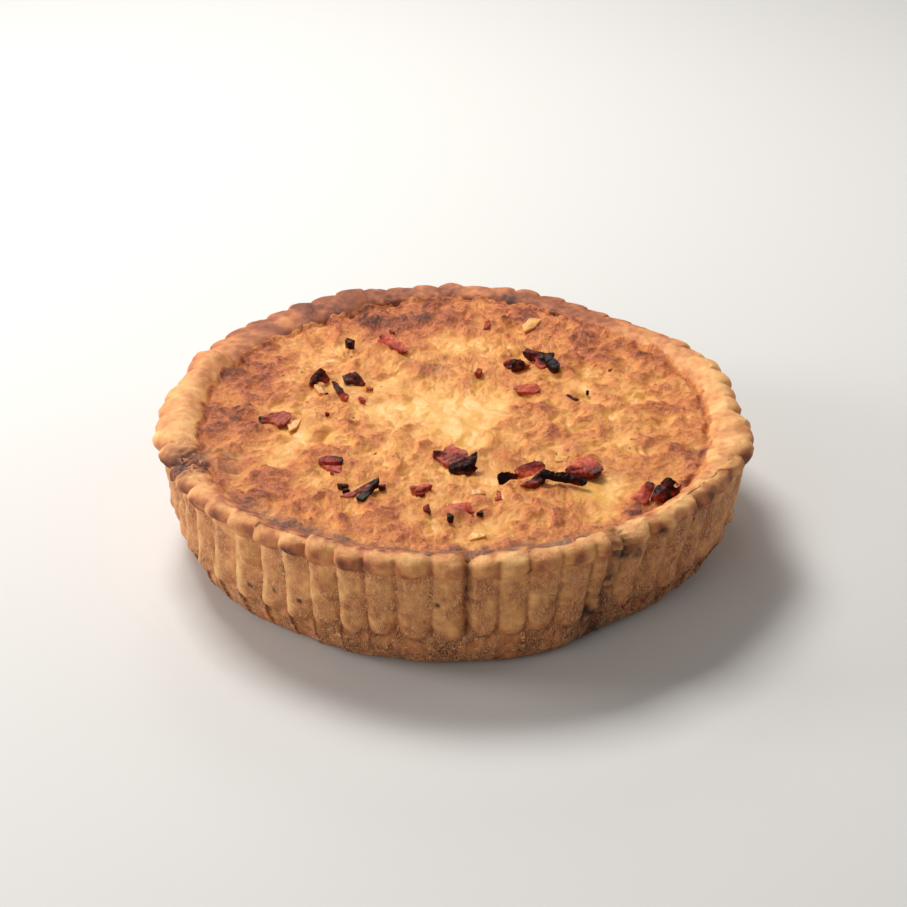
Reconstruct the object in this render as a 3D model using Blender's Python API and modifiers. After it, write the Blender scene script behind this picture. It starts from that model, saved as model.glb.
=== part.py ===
"""Deep fluted quiche with bacon lardons: a pastry case, its baked custard and the pieces lying in it."""

from math import atan2, cos, degrees, exp, hypot, radians, sin

import bmesh
import bpy
from mathutils import Euler, Matrix, Vector

MM = 0.001
CLEARANCE = 0.3 * MM

# Pastry case: radii of the flute crests, and heights above the flat base.
RIM_RADIUS = 99.4 * MM
CASE_HEIGHT = 45.0 * MM
BASE_RADIUS = 85.2 * MM
WALL_FOOT_RADIUS = 95.8 * MM
RIM_CREST_RADIUS = 94.6 * MM
RIM_INNER_RADIUS = 87.2 * MM
RIM_INNER_HEIGHT = 41.8 * MM
INNER_FLOOR_RADIUS = 77.0 * MM
FLOOR_THICKNESS = 6.0 * MM

# Flutes pressed by the tin: full in the wall, gone on the rounded foot and on the inside of the rim.
FLUTES = 60
SIDES_PER_FLUTE = 4
FLUTE_TURN = 3.0
FLUTE_DEPTH = 2.2 * MM
FLUTE_FOOT = 15.5 * MM
FLUTE_FADE = 3.0 * MM
FLUTE_INNER_RADIUS = 91.0 * MM
FLUTE_FULL_RADIUS = 96.5 * MM

RIM_WAVE = 0.6 * MM
RIM_FOOT_HEIGHT = 36.0 * MM

# The foot stands proud of the flutes beside it for a stretch at the front.
FOOT_BULGE_MIDDLE = -91.5
FOOT_BULGE = 1.5 * MM
FOOT_BULGE_HEIGHT = 16.0 * MM
FOOT_BULGE_HALF_WIDTH = 28.0
FOOT_BULGE_STEP = 3.0

# Hand-lined pastry isn't a true circle: angle and half width in degrees, then how far out the rim
# stands, how far out the foot stands, and how far up the rim stands, in millimetres.
SWELLS = (
    (-19.0, 12.0, 3.8, 3.2, 0.4),
    (14.0, 7.0, 1.0, 0.4, 0.0),
    (52.0, 17.0, -2.0, -0.6, -1.5),
    (77.0, 3.5, 0.8, 0.0, 0.3),
    (90.0, 2.5, 1.2, 0.0, 0.5),
    (145.0, 7.0, 0.9, 0.4, 0.0),
    (166.0, 6.0, -2.4, -0.8, -0.2),
    (-170.0, 7.0, 1.6, 1.0, 0.0),
    (-142.0, 17.0, 0.8, 2.8, 0.0),
    (-54.0, 12.0, 0.2, -2.2, 0.0),
    (-38.0, 12.0, 0.6, 0.4, 0.3),
)
# Where the rim's inner edge leans in (minus) or out: angle and half width in degrees, and millimetres.
INNER_LEANS = (
    (168.0, 26.0, -3.2),
    (-36.0, 22.0, 3.0),
    (-90.0, 24.0, 1.2),
)
# Where one edge of the pastry laps over the next: angle, way round, rise, step outwards, and run.
RIM_LAPS = (
    (156.0, 1, 1.1, 0.8, 22.0),
    (111.0, 1, 1.2, 0.3, 9.0),
    (-7.0, -1, 0.9, 1.2, 16.0),
    (-117.0, 1, 1.2, 0.5, 12.0),
    (-60.5, -1, 1.3, 0.6, 13.0),
)
# Nicks that cross the rim: angle and half width in degrees, and depth in millimetres.
RIM_NICKS = (
    (-158.0, 3.0, 2.2),
    (-87.0, 1.6, 1.2),
    (-57.5, 2.4, 1.6),
)

# Custard
CUSTARD_SIDES = 72
CUSTARD_RINGS = 9
CUSTARD_LEVEL = 41.3 * MM
CUSTARD_EDGE_RISE = 1.3 * MM
CUSTARD_EDGE_WIDTH = 12.0 * MM

# Browned swellings of the custard: x, y, radius and height in millimetres.
MOUNDS = (
    (-58, -42, 7, 2.0),
    (-46, -53, 9, 1.7),
    (-69, -50, 7, 1.3),
    (-60, 22, 12, 1.4),
    (-70, -14, 12, 1.0),
    (-5, 69, 12, 1.8),
    (48, 56, 9, 1.9),
    (50, 43, 8, 1.6),
    (70, -26, 14, 1.3),
    (29, -60, 12, 1.9),
    (58, -64, 8, 1.2),
    (-22, -68, 14, 1.4),
    (70, 34, 12, 1.2),
    (-36, 74, 11, 1.2),
    (20, 80, 11, 1.0),
    (55, -3, 10, 1.1),
    (27, 2, 9, 0.9),
    (-9, 33, 7, 0.8),
    (-20, 40, 6, 1.2),
)

# Lardons: name, x, y, length, width, thickness and lift of the middle above the custard, all in
# millimetres, then yaw, pitch and roll in degrees, and the curl of the ends in millimetres.
LARDONS = (
    ("lardon_centre", 2.2, -32.8, 14.8, 10.0, 3.0, 1.4, -8, -2, -6, 2.0),
    ("lardon_left_flat", -39.4, -34.0, 8.8, 7.6, 2.6, 0.3, 0, 0, 10, 0.0),
    ("lardon_left_strip", -29.8, -52.6, 15.0, 3.2, 2.2, 0.9, 37, -6, 30, 0.8),
    ("leek_left", -28.2, -57.0, 5.2, 3.2, 1.4, 1.0, 42, 0, 25, 0.3),
    ("lardon_long_strip", 36.2, -46.8, 15.4, 2.6, 2.4, 3.0, -4, 7, 0, -0.5),
    ("lardon_red_slab", 26.0, -40.0, 9.6, 4.8, 2.6, 1.2, 6, -10, 26, 0.4),
    ("lardon_char_hook", 18.4, -43.6, 6.6, 2.4, 2.2, 1.2, 20, 4, 0, -0.8),
    ("lardon_red_strip", 24.9, -47.9, 7.6, 2.8, 2.4, 0.9, 28, -12, 0, 0.0),
    ("lardon_salmon_slab", 43.8, -35.2, 12.0, 9.2, 2.8, 0.8, 4, 0, 12, 0.4),
    ("lardon_right_red", 61.0, -57.6, 8.4, 3.0, 4.8, 1.8, 60, -14, -8, 0.0),
    ("lardon_right_char", 69.0, -56.3, 8.8, 5.4, 4.4, 2.2, 32, -6, 8, 0.4),
    ("lardon_back_curl", 23.0, 33.2, 8.6, 5.6, 2.6, 1.0, -14, 4, 18, 1.2),
    ("lardon_back_strip", 36.6, 35.4, 8.8, 3.0, 2.8, 1.8, -56, 8, 0, 0.4),
    ("lardon_back_hook", 29.4, 41.8, 7.6, 3.2, 2.6, 2.2, -28, -6, 0, 0.5),
    ("lardon_left_peak", -45.9, 22.6, 7.8, 5.4, 2.4, 1.8, 24, -10, 50, 0.4),
    ("lardon_left_arch", -33.8, 22.2, 8.8, 4.4, 2.4, 1.8, -14, 6, 14, -1.4),
    ("lardon_left_sliver", -39.0, 14.4, 9.2, 2.6, 2.2, 0.9, -58, 6, 0, 0.2),
    ("lardon_pink_slice", -20.8, 52.4, 14.2, 4.6, 1.8, 0.6, -52, 0, -26, 0.0),
    ("lardon_pink_slab", -59.8, -5.0, 10.8, 6.6, 2.6, 0.7, 14, 4, 10, 0.3),
    ("lardon_pink_patch", 27.6, 18.6, 9.8, 5.6, 2.2, 0.2, -4, 0, 8, 0.0),
)
# These two lean on the inside of the rim, so the case has a bed for them too.
AGAINST_RIM = ("lardon_right_red", "lardon_right_char")
LENGTHWAYS, CROSSWAYS = 5, 2
NARROW_END, NARROW_TIPS = 0.10, 0.12
THIN_TIPS, THIN_SIDES = 0.18, 0.10
SUNK = 0.2 * MM


def clear_scene():
    for old in list(bpy.data.objects):
        bpy.data.objects.remove(old, do_unlink=True)


def collection(name):
    made = bpy.data.collections.new(name)
    bpy.context.scene.collection.children.link(made)
    return made


def food(name, colour, roughness):
    """A plain, matt food surface."""
    made = bpy.data.materials.new(name)
    made.use_nodes = True
    shader = made.node_tree.nodes["Principled BSDF"]
    shader.inputs["Base Color"].default_value = (*colour, 1.0)
    shader.inputs["Roughness"].default_value = roughness
    shader.inputs["Metallic"].default_value = 0.0
    return made


def ramp(value, low, high):
    """0 below low and 1 above high, with an eased step between."""
    t = min(max((value - low) / (high - low), 0.0), 1.0)
    return t * t * (3 - 2 * t)


def angle_between(a, b):
    """Signed difference of two angles in degrees, from -180 to 180."""
    return (a - b + 180.0) % 360.0 - 180.0


def bell(angle, middle, half_width):
    """1 at the middle angle, falling away to both sides."""
    return exp(-((angle_between(angle, middle) / half_width) ** 2))


def flute(angle):
    """Shape of a flute across its width: 0 in the groove and 1 on the crest."""
    across = ((angle - FLUTE_TURN) / 360.0 * FLUTES) % 1.0
    return 1.0 - abs(2.0 * across - 1.0) ** 2.5


def inner_lean(angle):
    """How far the rim's inner edge stands outside its mean radius."""
    return sum(lean * MM * bell(angle, middle, half) for middle, half, lean in INNER_LEANS)


def lap(angle):
    """Rise and step outwards where the pastry laps over itself: full at the edge, fading along its run."""
    rise = step = 0.0
    for start, way, up, out, run in RIM_LAPS:
        along = angle_between(angle, start) * way
        if 0.0 <= along <= run:
            rise += up * MM * (1.0 - along / run)
            step += out * MM * (1.0 - along / run)
    return rise, step


def rim_lift(angle):
    """How far the rim stands above its mean height."""
    lift = RIM_WAVE * (0.6 * sin(radians(3 * angle + 40)) + 0.4 * sin(radians(7 * angle)))
    lift += lap(angle)[0]
    lift += sum(up * MM * bell(angle, middle, half) for middle, half, _, _, up in SWELLS)
    return lift - sum(depth * MM * bell(angle, middle, half) for middle, half, depth in RIM_NICKS)


def swell(angle, height):
    """How far out the wall stands at a height, between its swell at the rim and at the foot."""
    up = ramp(height, FLUTE_FOOT, RIM_FOOT_HEIGHT)
    out = sum(
        (at_rim * up + at_foot * (1.0 - up)) * MM * bell(angle, middle, half)
        for middle, half, at_rim, at_foot, _ in SWELLS
    )
    return out + lap(angle)[1] * up


def case_section():
    """Half section of the case from the middle of its floor, over the rim, to the middle of its base."""
    outer = (
        (BASE_RADIUS, 0.0),
        (90.0 * MM, 3.2 * MM),
        (93.8 * MM, 11.0 * MM),
        (WALL_FOOT_RADIUS, 17.5 * MM),
        (97.8 * MM, 38.0 * MM),
        (RIM_RADIUS, 41.2 * MM),
        (98.4 * MM, 43.9 * MM),
        (RIM_CREST_RADIUS, CASE_HEIGHT),
    )
    inner = (
        (89.6 * MM, 44.2 * MM),
        (RIM_INNER_RADIUS, RIM_INNER_HEIGHT),
        (INNER_FLOOR_RADIUS, FLOOR_THICKNESS),
        (0.0, FLOOR_THICKNESS),
    )
    return list(reversed(inner)) + list(reversed(outer)) + [(0.0, 0.0)]


def custard_section():
    """Half section of the custard from the middle of its top, out to its edge, to the middle below."""
    edge = RIM_INNER_RADIUS - CLEARANCE
    top = [(edge * k / CUSTARD_RINGS, CUSTARD_LEVEL) for k in range(CUSTARD_RINGS + 1)]
    low = FLOOR_THICKNESS + CLEARANCE
    return top + [(INNER_FLOOR_RADIUS - CLEARANCE, low), (0.0, low)]


def turned(name, section, sides, where):
    """A solid of revolution, as a plain closed mesh with its faces pointing out."""
    line = bpy.data.meshes.new(name + "_section")
    points = [(r, 0.0, z) for r, z in section]
    line.from_pydata(points, [(k, k + 1) for k in range(len(points) - 1)], [])
    made = bpy.data.objects.new(name, line)
    where.objects.link(made)
    screw = made.modifiers.new("turn", "SCREW")
    screw.axis = "Z"
    screw.steps = screw.render_steps = sides
    screw.use_merge_vertices = True
    screw.merge_threshold = 0.01 * MM
    screw.use_smooth_shade = False
    bpy.context.view_layer.update()
    shaped = bpy.data.meshes.new_from_object(made.evaluated_get(bpy.context.evaluated_depsgraph_get()))
    made.modifiers.clear()
    made.data = shaped
    shaped.name = name
    bpy.data.meshes.remove(line)
    work = bmesh.new()
    work.from_mesh(shaped)
    bmesh.ops.remove_doubles(work, verts=work.verts, dist=0.001 * MM)
    bmesh.ops.recalc_face_normals(work, faces=work.faces)
    work.to_mesh(shaped)
    work.free()
    return made


def case_point(radius, angle, height):
    """Where a point of the turned case goes once the flutes, folds, swells and foot are pressed in."""
    on_wall = ramp(radius, FLUTE_INNER_RADIUS, FLUTE_FULL_RADIUS)
    on_flute = on_wall * ramp(height, FLUTE_FOOT - FLUTE_FADE, FLUTE_FOOT + FLUTE_FADE)
    on_inside = 1.0 - ramp(radius, RIM_INNER_RADIUS, FLUTE_FULL_RADIUS)
    on_rim = ramp(height, RIM_FOOT_HEIGHT, CASE_HEIGHT) * ramp(radius, RIM_INNER_RADIUS, RIM_CREST_RADIUS)
    off_centre = ramp(radius, INNER_FLOOR_RADIUS, BASE_RADIUS)
    on_foot = off_centre * (1.0 - ramp(height, FOOT_BULGE_HEIGHT / 2, FOOT_BULGE_HEIGHT))
    off_middle = abs(angle_between(angle, FOOT_BULGE_MIDDLE))
    near_front = 1.0 - ramp(off_middle, FOOT_BULGE_HALF_WIDTH - FOOT_BULGE_STEP, FOOT_BULGE_HALF_WIDTH)
    moved = radius - FLUTE_DEPTH * (1.0 - flute(angle)) * on_flute
    moved += FOOT_BULGE * near_front * on_foot
    moved += inner_lean(angle) * on_inside * ramp(height, FLOOR_THICKNESS, RIM_INNER_HEIGHT)
    moved += swell(angle, height) * off_centre * (1.0 - on_inside)
    return Vector((moved * cos(radians(angle)), moved * sin(radians(angle)), height + rim_lift(angle) * on_rim))


def build_case(where):
    case = turned("pastry_case", case_section(), FLUTES * SIDES_PER_FLUTE, where)
    for point in case.data.vertices:
        x, y, height = point.co
        point.co = case_point(hypot(x, y), degrees(atan2(y, x)), height)
    case.data.materials.append(food("baked_pastry", (0.55, 0.28, 0.10), 0.7))
    return case


def custard_height(x, y):
    """Height of the custard's top at a place in its middle or near its edge."""
    radius = hypot(x, y)
    edge = RIM_INNER_RADIUS + inner_lean(degrees(atan2(y, x))) - CLEARANCE
    at_edge = ramp(radius, edge - CUSTARD_EDGE_WIDTH, edge)
    height = CUSTARD_LEVEL + CUSTARD_EDGE_RISE * at_edge
    for mound_x, mound_y, reach, rise in MOUNDS:
        away = hypot(x - mound_x * MM, y - mound_y * MM) / (reach * MM)
        height += rise * MM * exp(-away * away) * (1.0 - at_edge)
    return height


def build_custard(where):
    custard = turned("custard", custard_section(), CUSTARD_SIDES, where)
    for point in custard.data.vertices:
        x, y, height = point.co
        if height > CUSTARD_LEVEL - MM:
            outwards = 1.0 + inner_lean(degrees(atan2(y, x))) / RIM_INNER_RADIUS
            x, y = x * outwards, y * outwards
            point.co = (x, y, custard_height(x, y))
    custard.data.materials.append(food("baked_custard", (0.80, 0.42, 0.10), 0.5))
    return custard


def slab(name, length, width, thickness, curl, where):
    """A cut of bacon: a thin slab, narrower at one end, whose ends curl up by a given height."""
    mesh = bpy.data.meshes.new(name)
    work = bmesh.new()
    bmesh.ops.create_cube(work, size=1.0)
    along = [e for e in work.edges if abs(e.verts[0].co.x - e.verts[1].co.x) > 0.5]
    bmesh.ops.subdivide_edges(work, edges=along, cuts=LENGTHWAYS - 1, use_grid_fill=True)
    across = [e for e in work.edges if abs(e.verts[0].co.y - e.verts[1].co.y) > 0.5]
    bmesh.ops.subdivide_edges(work, edges=across, cuts=CROSSWAYS - 1, use_grid_fill=True)
    for point in work.verts:
        end = 2.0 * point.co.x
        side = 2.0 * point.co.y
        narrow = (1.0 - NARROW_END * end) * (1.0 - NARROW_TIPS * end * end)
        thin = 1.0 - THIN_TIPS * end * end - THIN_SIDES * side * side
        point.co = Vector((
            point.co.x * length,
            point.co.y * width * narrow,
            point.co.z * thickness * thin + curl * end * end - curl / 3.0,
        ))
    bmesh.ops.triangulate(work, faces=work.faces)
    work.to_mesh(mesh)
    work.free()
    made = bpy.data.objects.new(name, mesh)
    where.objects.link(made)
    return made


def build_lardons(where, cutters_go):
    """The pieces, each with a slightly larger cutter that makes its bed in the custard."""
    meat = food("baked_bacon", (0.30, 0.06, 0.03), 0.45)
    beds = {}
    for name, x, y, length, width, thickness, lift, yaw, pitch, roll, curl in LARDONS:
        turn = Euler((radians(roll), radians(pitch), radians(yaw)), "XYZ").to_matrix().to_4x4()
        height = custard_height(x * MM, y * MM) + lift * MM - SUNK
        place = Matrix.Translation((x * MM, y * MM, height)) @ turn
        piece = slab(name, length * MM, width * MM, thickness * MM, curl * MM, where)
        piece.matrix_world = place
        piece.data.materials.append(meat)
        grown = (size * MM + 2 * CLEARANCE for size in (length, width, thickness))
        bed = slab(name + "_bed", *grown, curl * MM, cutters_go)
        bed.matrix_world = place
        bed.hide_render = True
        bed.display_type = "WIRE"
        beds[name] = bed
    return beds


def cut_beds(solid, beds):
    for bed in beds:
        cut = solid.modifiers.new(bed.name, "BOOLEAN")
        cut.operation = "DIFFERENCE"
        cut.solver = "EXACT"
        cut.object = bed


def main():
    clear_scene()
    quiche = collection("quiche")
    cutters = collection("cutters")
    case = build_case(quiche)
    custard = build_custard(quiche)
    beds = build_lardons(quiche, cutters)
    cut_beds(custard, beds.values())
    cut_beds(case, (beds[name] for name in AGAINST_RIM))


main()
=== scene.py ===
"""Deep fluted quiche with bacon lardons, baked in a loose-base tin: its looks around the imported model."""

from itertools import product
from math import radians

import bmesh
import bpy
import numpy as np
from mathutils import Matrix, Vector
from mathutils.bvhtree import BVHTree


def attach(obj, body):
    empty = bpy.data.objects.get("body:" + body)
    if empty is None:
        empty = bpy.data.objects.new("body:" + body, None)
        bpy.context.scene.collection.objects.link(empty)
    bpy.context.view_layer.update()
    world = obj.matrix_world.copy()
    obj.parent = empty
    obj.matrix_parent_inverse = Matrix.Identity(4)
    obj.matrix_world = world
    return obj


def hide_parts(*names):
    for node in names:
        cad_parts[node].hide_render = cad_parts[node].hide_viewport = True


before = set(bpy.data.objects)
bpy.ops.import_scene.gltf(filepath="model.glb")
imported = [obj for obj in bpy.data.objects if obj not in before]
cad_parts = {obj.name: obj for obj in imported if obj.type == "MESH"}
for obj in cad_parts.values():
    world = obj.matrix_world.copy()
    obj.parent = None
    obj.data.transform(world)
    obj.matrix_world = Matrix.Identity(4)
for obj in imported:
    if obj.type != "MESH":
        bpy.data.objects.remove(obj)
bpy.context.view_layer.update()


def put(name, data):
    """A new object in the scene, made from its mesh, camera or lamp."""
    made = bpy.data.objects.new(name, data)
    bpy.context.scene.collection.objects.link(made)
    return made


# Camera: a short telephoto at table height and a half, 32 degrees above the quiche. It looks a little
# over the quiche, so the base sits below the middle of the frame.
CAMERA_PLACE = (0.0, -0.5488, 0.3483)
CAMERA_DOWN, CAMERA_YAW = 30.5, -0.09
CAMERA_LENS = 72.4
camera_data = bpy.data.cameras.new("camera")
camera_data.lens = CAMERA_LENS
camera = put("camera", camera_data)
camera.location = CAMERA_PLACE
camera.rotation_euler = (radians(90.0 - CAMERA_DOWN), 0.0, radians(CAMERA_YAW))
bpy.context.scene.camera = camera

# Pastry case: one sheet of shortcrust pressed by hand into a fluted tin and baked blind, then filled.
# The wall and foot touched the tin, so they are matt and mottled with pale flecks of fat. The rim stood
# free in the oven: it is smooth and gold on top and browned on the outside of each knob.
MM = 0.001
CLEARANCE = 0.3
RIM_INNER_RADIUS, RIM_INNER_HEIGHT = 87.2, 41.8
INNER_FLOOR_RADIUS, FLOOR_THICKNESS = 77.0, 6.0
BASE_RADIUS, CASE_HEIGHT = 85.2, 45.0
CASE_SECTION = (
    (0.0, 6.0), (77.0, 6.0), (87.2, 41.8), (89.6, 44.2), (94.6, 45.2), (98.4, 44.1), (99.7, 41.4),
    (98.3, 38.6), (97.0, 36.6), (95.8, 17.5), (93.8, 11.0), (90.0, 3.2), (85.2, 0.0), (0.0, 0.0),
)
ROUNDING_PASSES = 3
FINE_ROW, WALL_ROW, HIDDEN_ROW = 0.66, 0.9, 9.0
FLUTES, SIDES_PER_FLUTE = 60, 15
FLUTE_PITCH = 360.0 / FLUTES
FLUTE_TURN = 3.0
FLUTE_DEPTH = 2.6
FLUTE_FOOT, FLUTE_FADE = 15.5, 3.0
FLUTE_INNER_RADIUS, FLUTE_FULL_RADIUS = 91.5, 97.8
RIM_WAVE, RIM_FOOT_HEIGHT, RIM_CREST_RADIUS = 0.6, 36.0, 94.6
FOOT_BULGE, FOOT_BULGE_MIDDLE, FOOT_BULGE_HEIGHT = 1.5, -91.5, 16.0
FOOT_BULGE_HALF_WIDTH, FOOT_BULGE_STEP = 28.0, 3.0
# Angle and half width in degrees, then how far out the rim and the foot stand and how far up the rim, in mm.
SWELLS = (
    (-19.0, 12.0, 3.8, 3.2, 0.4), (14.0, 7.0, 1.0, 0.4, 0.0), (52.0, 17.0, -2.0, -0.6, -1.5),
    (77.0, 3.5, 0.8, 0.0, 0.3), (90.0, 2.5, 1.2, 0.0, 0.5), (145.0, 7.0, 0.9, 0.4, 0.0),
    (166.0, 6.0, -2.4, -0.8, -0.2), (-170.0, 7.0, 1.6, 1.0, 0.0), (-142.0, 17.0, 0.8, 2.8, 0.0),
    (-54.0, 12.0, 0.2, -2.2, 0.0), (-38.0, 12.0, 0.6, 0.4, 0.3),
)
# Where the rim's inner edge leans in (minus) or out: angle, half width, mm.
INNER_LEANS = (
    (168.0, 26.0, -3.2), (-36.0, 22.0, 3.0), (-90.0, 24.0, 1.2), (-133.0, 18.0, 3.0), (48.0, 20.0, -4.5),
    (128.0, 20.0, -5.0),
)
# Where one edge of the pastry laps over the next: angle, way round, rise, step outwards, and run.
RIM_LAPS = (
    (156.0, 1, 1.1, 0.8, 22.0), (111.0, 1, 1.2, 0.3, 9.0), (-7.0, -1, 0.9, 1.2, 16.0),
    (-117.0, 1, 1.2, 0.5, 12.0), (-60.5, -1, 1.3, 0.6, 13.0),
)
# Nicks across the rim: angle, half width, depth in mm.
RIM_NICKS = ((-158.0, 2.8, 1.6), (-87.0, 1.3, 2.0), (-57.0, 2.2, 1.2))
# The tin's flutes drift round where the pastry shrank: angle, half width, degrees of drift.
FLUTE_DRIFTS = ((-128.0, 9.0, 1.0), (-100.0, 8.0, -1.0), (-72.0, 8.0, -0.9), (-20.0, 14.0, 0.8))
# Where the flutes lap over each other to one side or the other, and where they are deeper: angle, half
# width and share.
SHINGLED_LEFT = ((-141.0, 27.0, 1.5), (48.0, 34.0, 0.9))
SHINGLED_RIGHT = ((-30.0, 26.0, 0.8), (128.0, 30.0, 0.9))
DEEPER_FLUTES = ((-138.0, 24.0, 0.45), (-32.0, 22.0, 0.55))
# Where the knobs' faces and the gold top are baked darker (plus) or paler: angle, half width and tone.
FACE_TONES = ((-130.0, 20.0, 0.22), (-166.0, 10.0, -0.08), (-30.0, 22.0, 0.14), (20.0, 24.0, -0.1))
GOLD_TONES = ((122.0, 36.0, 0.52), (62.0, 28.0, 0.42), (-128.0, 22.0, 0.12))
# Creases down the wall: angle, half width, depth, and the height of the lower end, in mm.
CREASES = ((-87.0, 0.7, 2.0, 15.0), (-59.5, 1.1, 1.8, 3.0), (-158.0, 1.8, 1.4, 26.0))
# The folded roll on the left runs between these angles, and is thickest at its blunt back end.
ROLL_START, ROLL_FADES, ROLL_END = 156.5, 189.0, 198.0
# The crack at the left, the crumbling gap at the front right and the steam hole beside it.
CRACK_ANGLE, CRACK_HALF_WIDTH = -157.0, 5.2
GAP_ANGLE, GAP_HALF_WIDTH = -57.0, 2.0
HOLE_ANGLE, HOLE_HEIGHT, HOLE_RADIUS, HOLE_DEPTH = -48.0, 40.3, 1.3, 2.4
# One degree in mm at the hole, among the blisters and at the specks, and on the scorched knobs, where it
# is short because the scorches are drawn out along the rim.
HOLE_DEGREE, BLISTER_DEGREE, SPECK_DEGREE, KNOB_DEGREE = 1.72, 1.68, 1.7, 1.2
# Blisters round the hole: angle, distance from the axis, radius and height in mm.
BLISTERS = (
    (-47.0, 95.0, 1.1, 0.6), (-43.5, 96.5, 0.9, 0.5), (-40.5, 94.5, 1.2, 0.5), (-46.5, 100.2, 1.3, 0.9),
    (-51.0, 93.5, 0.8, 0.4), (-36.0, 97.0, 0.8, 0.4), (-42.0, 99.5, 0.7, 0.4), (-33.0, 95.0, 0.9, 0.4),
)
# Where knobs of the right-hand rope scorched: angle, distance from the axis and radius in mm.
SCORCHED_KNOBS = ((-34.0, 99.0, 2.4), (-27.0, 99.0, 2.8), (-20.0, 99.5, 2.0), (-40.0, 99.6, 1.6))
BLISTERS_ABOVE, SCORCHES_ABOVE = 37.5, 39.0
# Where filling leaked down the wall, with painted shade down the crease at -87 degrees: angle, half width,
# height, half height in mm, and strength.
LEAKS = (
    (-62.0, 3.0, 10.0, 12.0, 0.62), (-59.0, 2.2, 30.0, 12.0, 0.62), (-58.5, 3.2, 1.0, 6.0, 1.0),
    (-87.0, 0.7, 34.0, 14.0, 0.8), (-63.0, 1.6, 16.0, 2.5, 0.6), (-54.5, 2.0, 36.0, 2.6, 0.7),
)
# Dark specks on the wall: angle, height and radius in mm.
WALL_SPECKS = (
    (-131, 20, 0.8), (-125, 22, 0.6), (-119.5, 21, 0.8), (-92.5, 28, 0.8), (-57, 36, 1.0), (-37, 35, 0.7),
)


def ramp(value, low, high):
    """0 below low and 1 above high, with an eased step between."""
    t = np.clip((value - low) / (high - low), 0.0, 1.0)
    return t * t * (3 - 2 * t)


def angle_between(a, b):
    """Signed difference of two angles in degrees, from -180 to 180."""
    return (a - b + 180.0) % 360.0 - 180.0


def hump(t):
    """1 at 0, falling away to both sides over about 1."""
    return np.exp(-(t**2))


def bell(angle, middle, half_width):
    """1 at the middle angle, falling away to both sides."""
    return hump(angle_between(angle, middle) / half_width)


def bells(angle, places):
    """Sum over places (angle, half width, amount) of a bell of that amount."""
    return sum(amount * bell(angle, middle, half) for middle, half, amount in places)


def on_circle(radius, angle):
    """The x and y of a radius turned by an angle in degrees."""
    return radius * np.cos(np.radians(angle)), radius * np.sin(np.radians(angle))


def lumps(at, size, seed, octaves=1):
    """Smooth unevenness from about -1 to 1 at each point, with swellings of about the given size in mm."""
    gradients = np.random.default_rng(seed).normal(size=(4096, 3))
    total = np.zeros(len(at))
    for octave in range(octaves):
        cell = np.floor(at * 2**octave / size).astype(np.int64)
        part = at * 2**octave / size - cell
        eased = part**3 * (part * (part * 6 - 15) + 10)
        for corner in product((0, 1), repeat=3):
            key = (cell + corner) * (73856093, 19349663, 83492791)
            gradient = gradients[(key[:, 0] ^ key[:, 1] ^ key[:, 2]) & 4095]
            share = np.prod(np.where(corner, eased, 1 - eased), axis=1)
            total += share * np.sum(gradient * (part - corner), axis=1) / 2**octave
    return total


def lap(angle):
    """Rise and step outwards where the pastry laps over itself: full at the edge, fading along its run."""
    rise, step = np.zeros_like(angle), np.zeros_like(angle)
    for start, way, up, out, run in RIM_LAPS:
        along = angle_between(angle, start) * way
        share = np.where((along >= 0.0) & (along <= run), 1.0 - along / run, 0.0)
        rise += up * share
        step += out * share
    return rise, step


def inner_lean(angle):
    """How far the rim's inner edge stands outside its mean radius."""
    return bells(angle, INNER_LEANS)


def give(tree, node, inputs):
    """Gives a node's inputs their values, sockets or other nodes' first outputs."""
    for key, value in inputs.items():
        if isinstance(value, bpy.types.Node):
            value = value.outputs[0]
        if isinstance(value, bpy.types.NodeSocket):
            tree.links.new(value, node.inputs[key])
        else:
            node.inputs[key].default_value = value


def add(tree, kind, inputs=None, **settings):
    """Adds a node with its settings and its inputs."""
    made = tree.nodes.new(kind)
    for name, value in settings.items():
        setattr(made, name, value)
    give(tree, made, inputs or {})
    return made


def linear(code):
    """An sRGB hex colour as linear red, green, blue and alpha."""
    parts = (int(code[k:k + 2], 16) / 255 for k in (1, 3, 5))
    return (*(p / 12.92 if p <= 0.04045 else ((p + 0.055) / 1.055) ** 2.4 for p in parts), 1.0)


def finish(name):
    """A new node material: its tree, its shader, and the object coordinates in metres."""
    made = bpy.data.materials.new(name)
    made.use_nodes = True
    tree = made.node_tree
    return made, tree, tree.nodes["Principled BSDF"], add(tree, "ShaderNodeTexCoord").outputs["Object"]


def colours(tree, value, stops, **settings):
    """A colour ramp over a value, from (position, hex) stops."""
    made = add(tree, "ShaderNodeValToRGB", {0: value}, **settings)
    band = made.color_ramp.elements
    band[0].position, band[0].color = stops[0][0], linear(stops[0][1])
    band[1].position, band[1].color = stops[-1][0], linear(stops[-1][1])
    for position, code in stops[1:-1]:
        band.new(position).color = linear(code)
    return made


def geometry_tree(name, source, sizes, result):
    """A Geometry Nodes tree with its sizes as named inputs: the tree, those inputs and their identifiers."""
    made = bpy.data.node_groups.new(name, "GeometryNodeTree")
    made.interface.new_socket(source, in_out="INPUT", socket_type="NodeSocketGeometry")
    identifiers = {
        label: made.interface.new_socket(label, in_out="INPUT", socket_type=kind).identifier
        for label, (kind, _) in sizes.items()
    }
    made.interface.new_socket(result, in_out="OUTPUT", socket_type="NodeSocketGeometry")
    return made, add(made, "NodeGroupInput").outputs, identifiers


def use_tree(thing, tree, sizes, identifiers):
    """Puts a Geometry Nodes tree on an object and sets its sizes."""
    modifier = thing.modifiers.new(tree.name, "NODES")
    modifier.node_group = tree
    for label, (_, value) in sizes.items():
        modifier[identifiers[label]] = value


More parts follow.
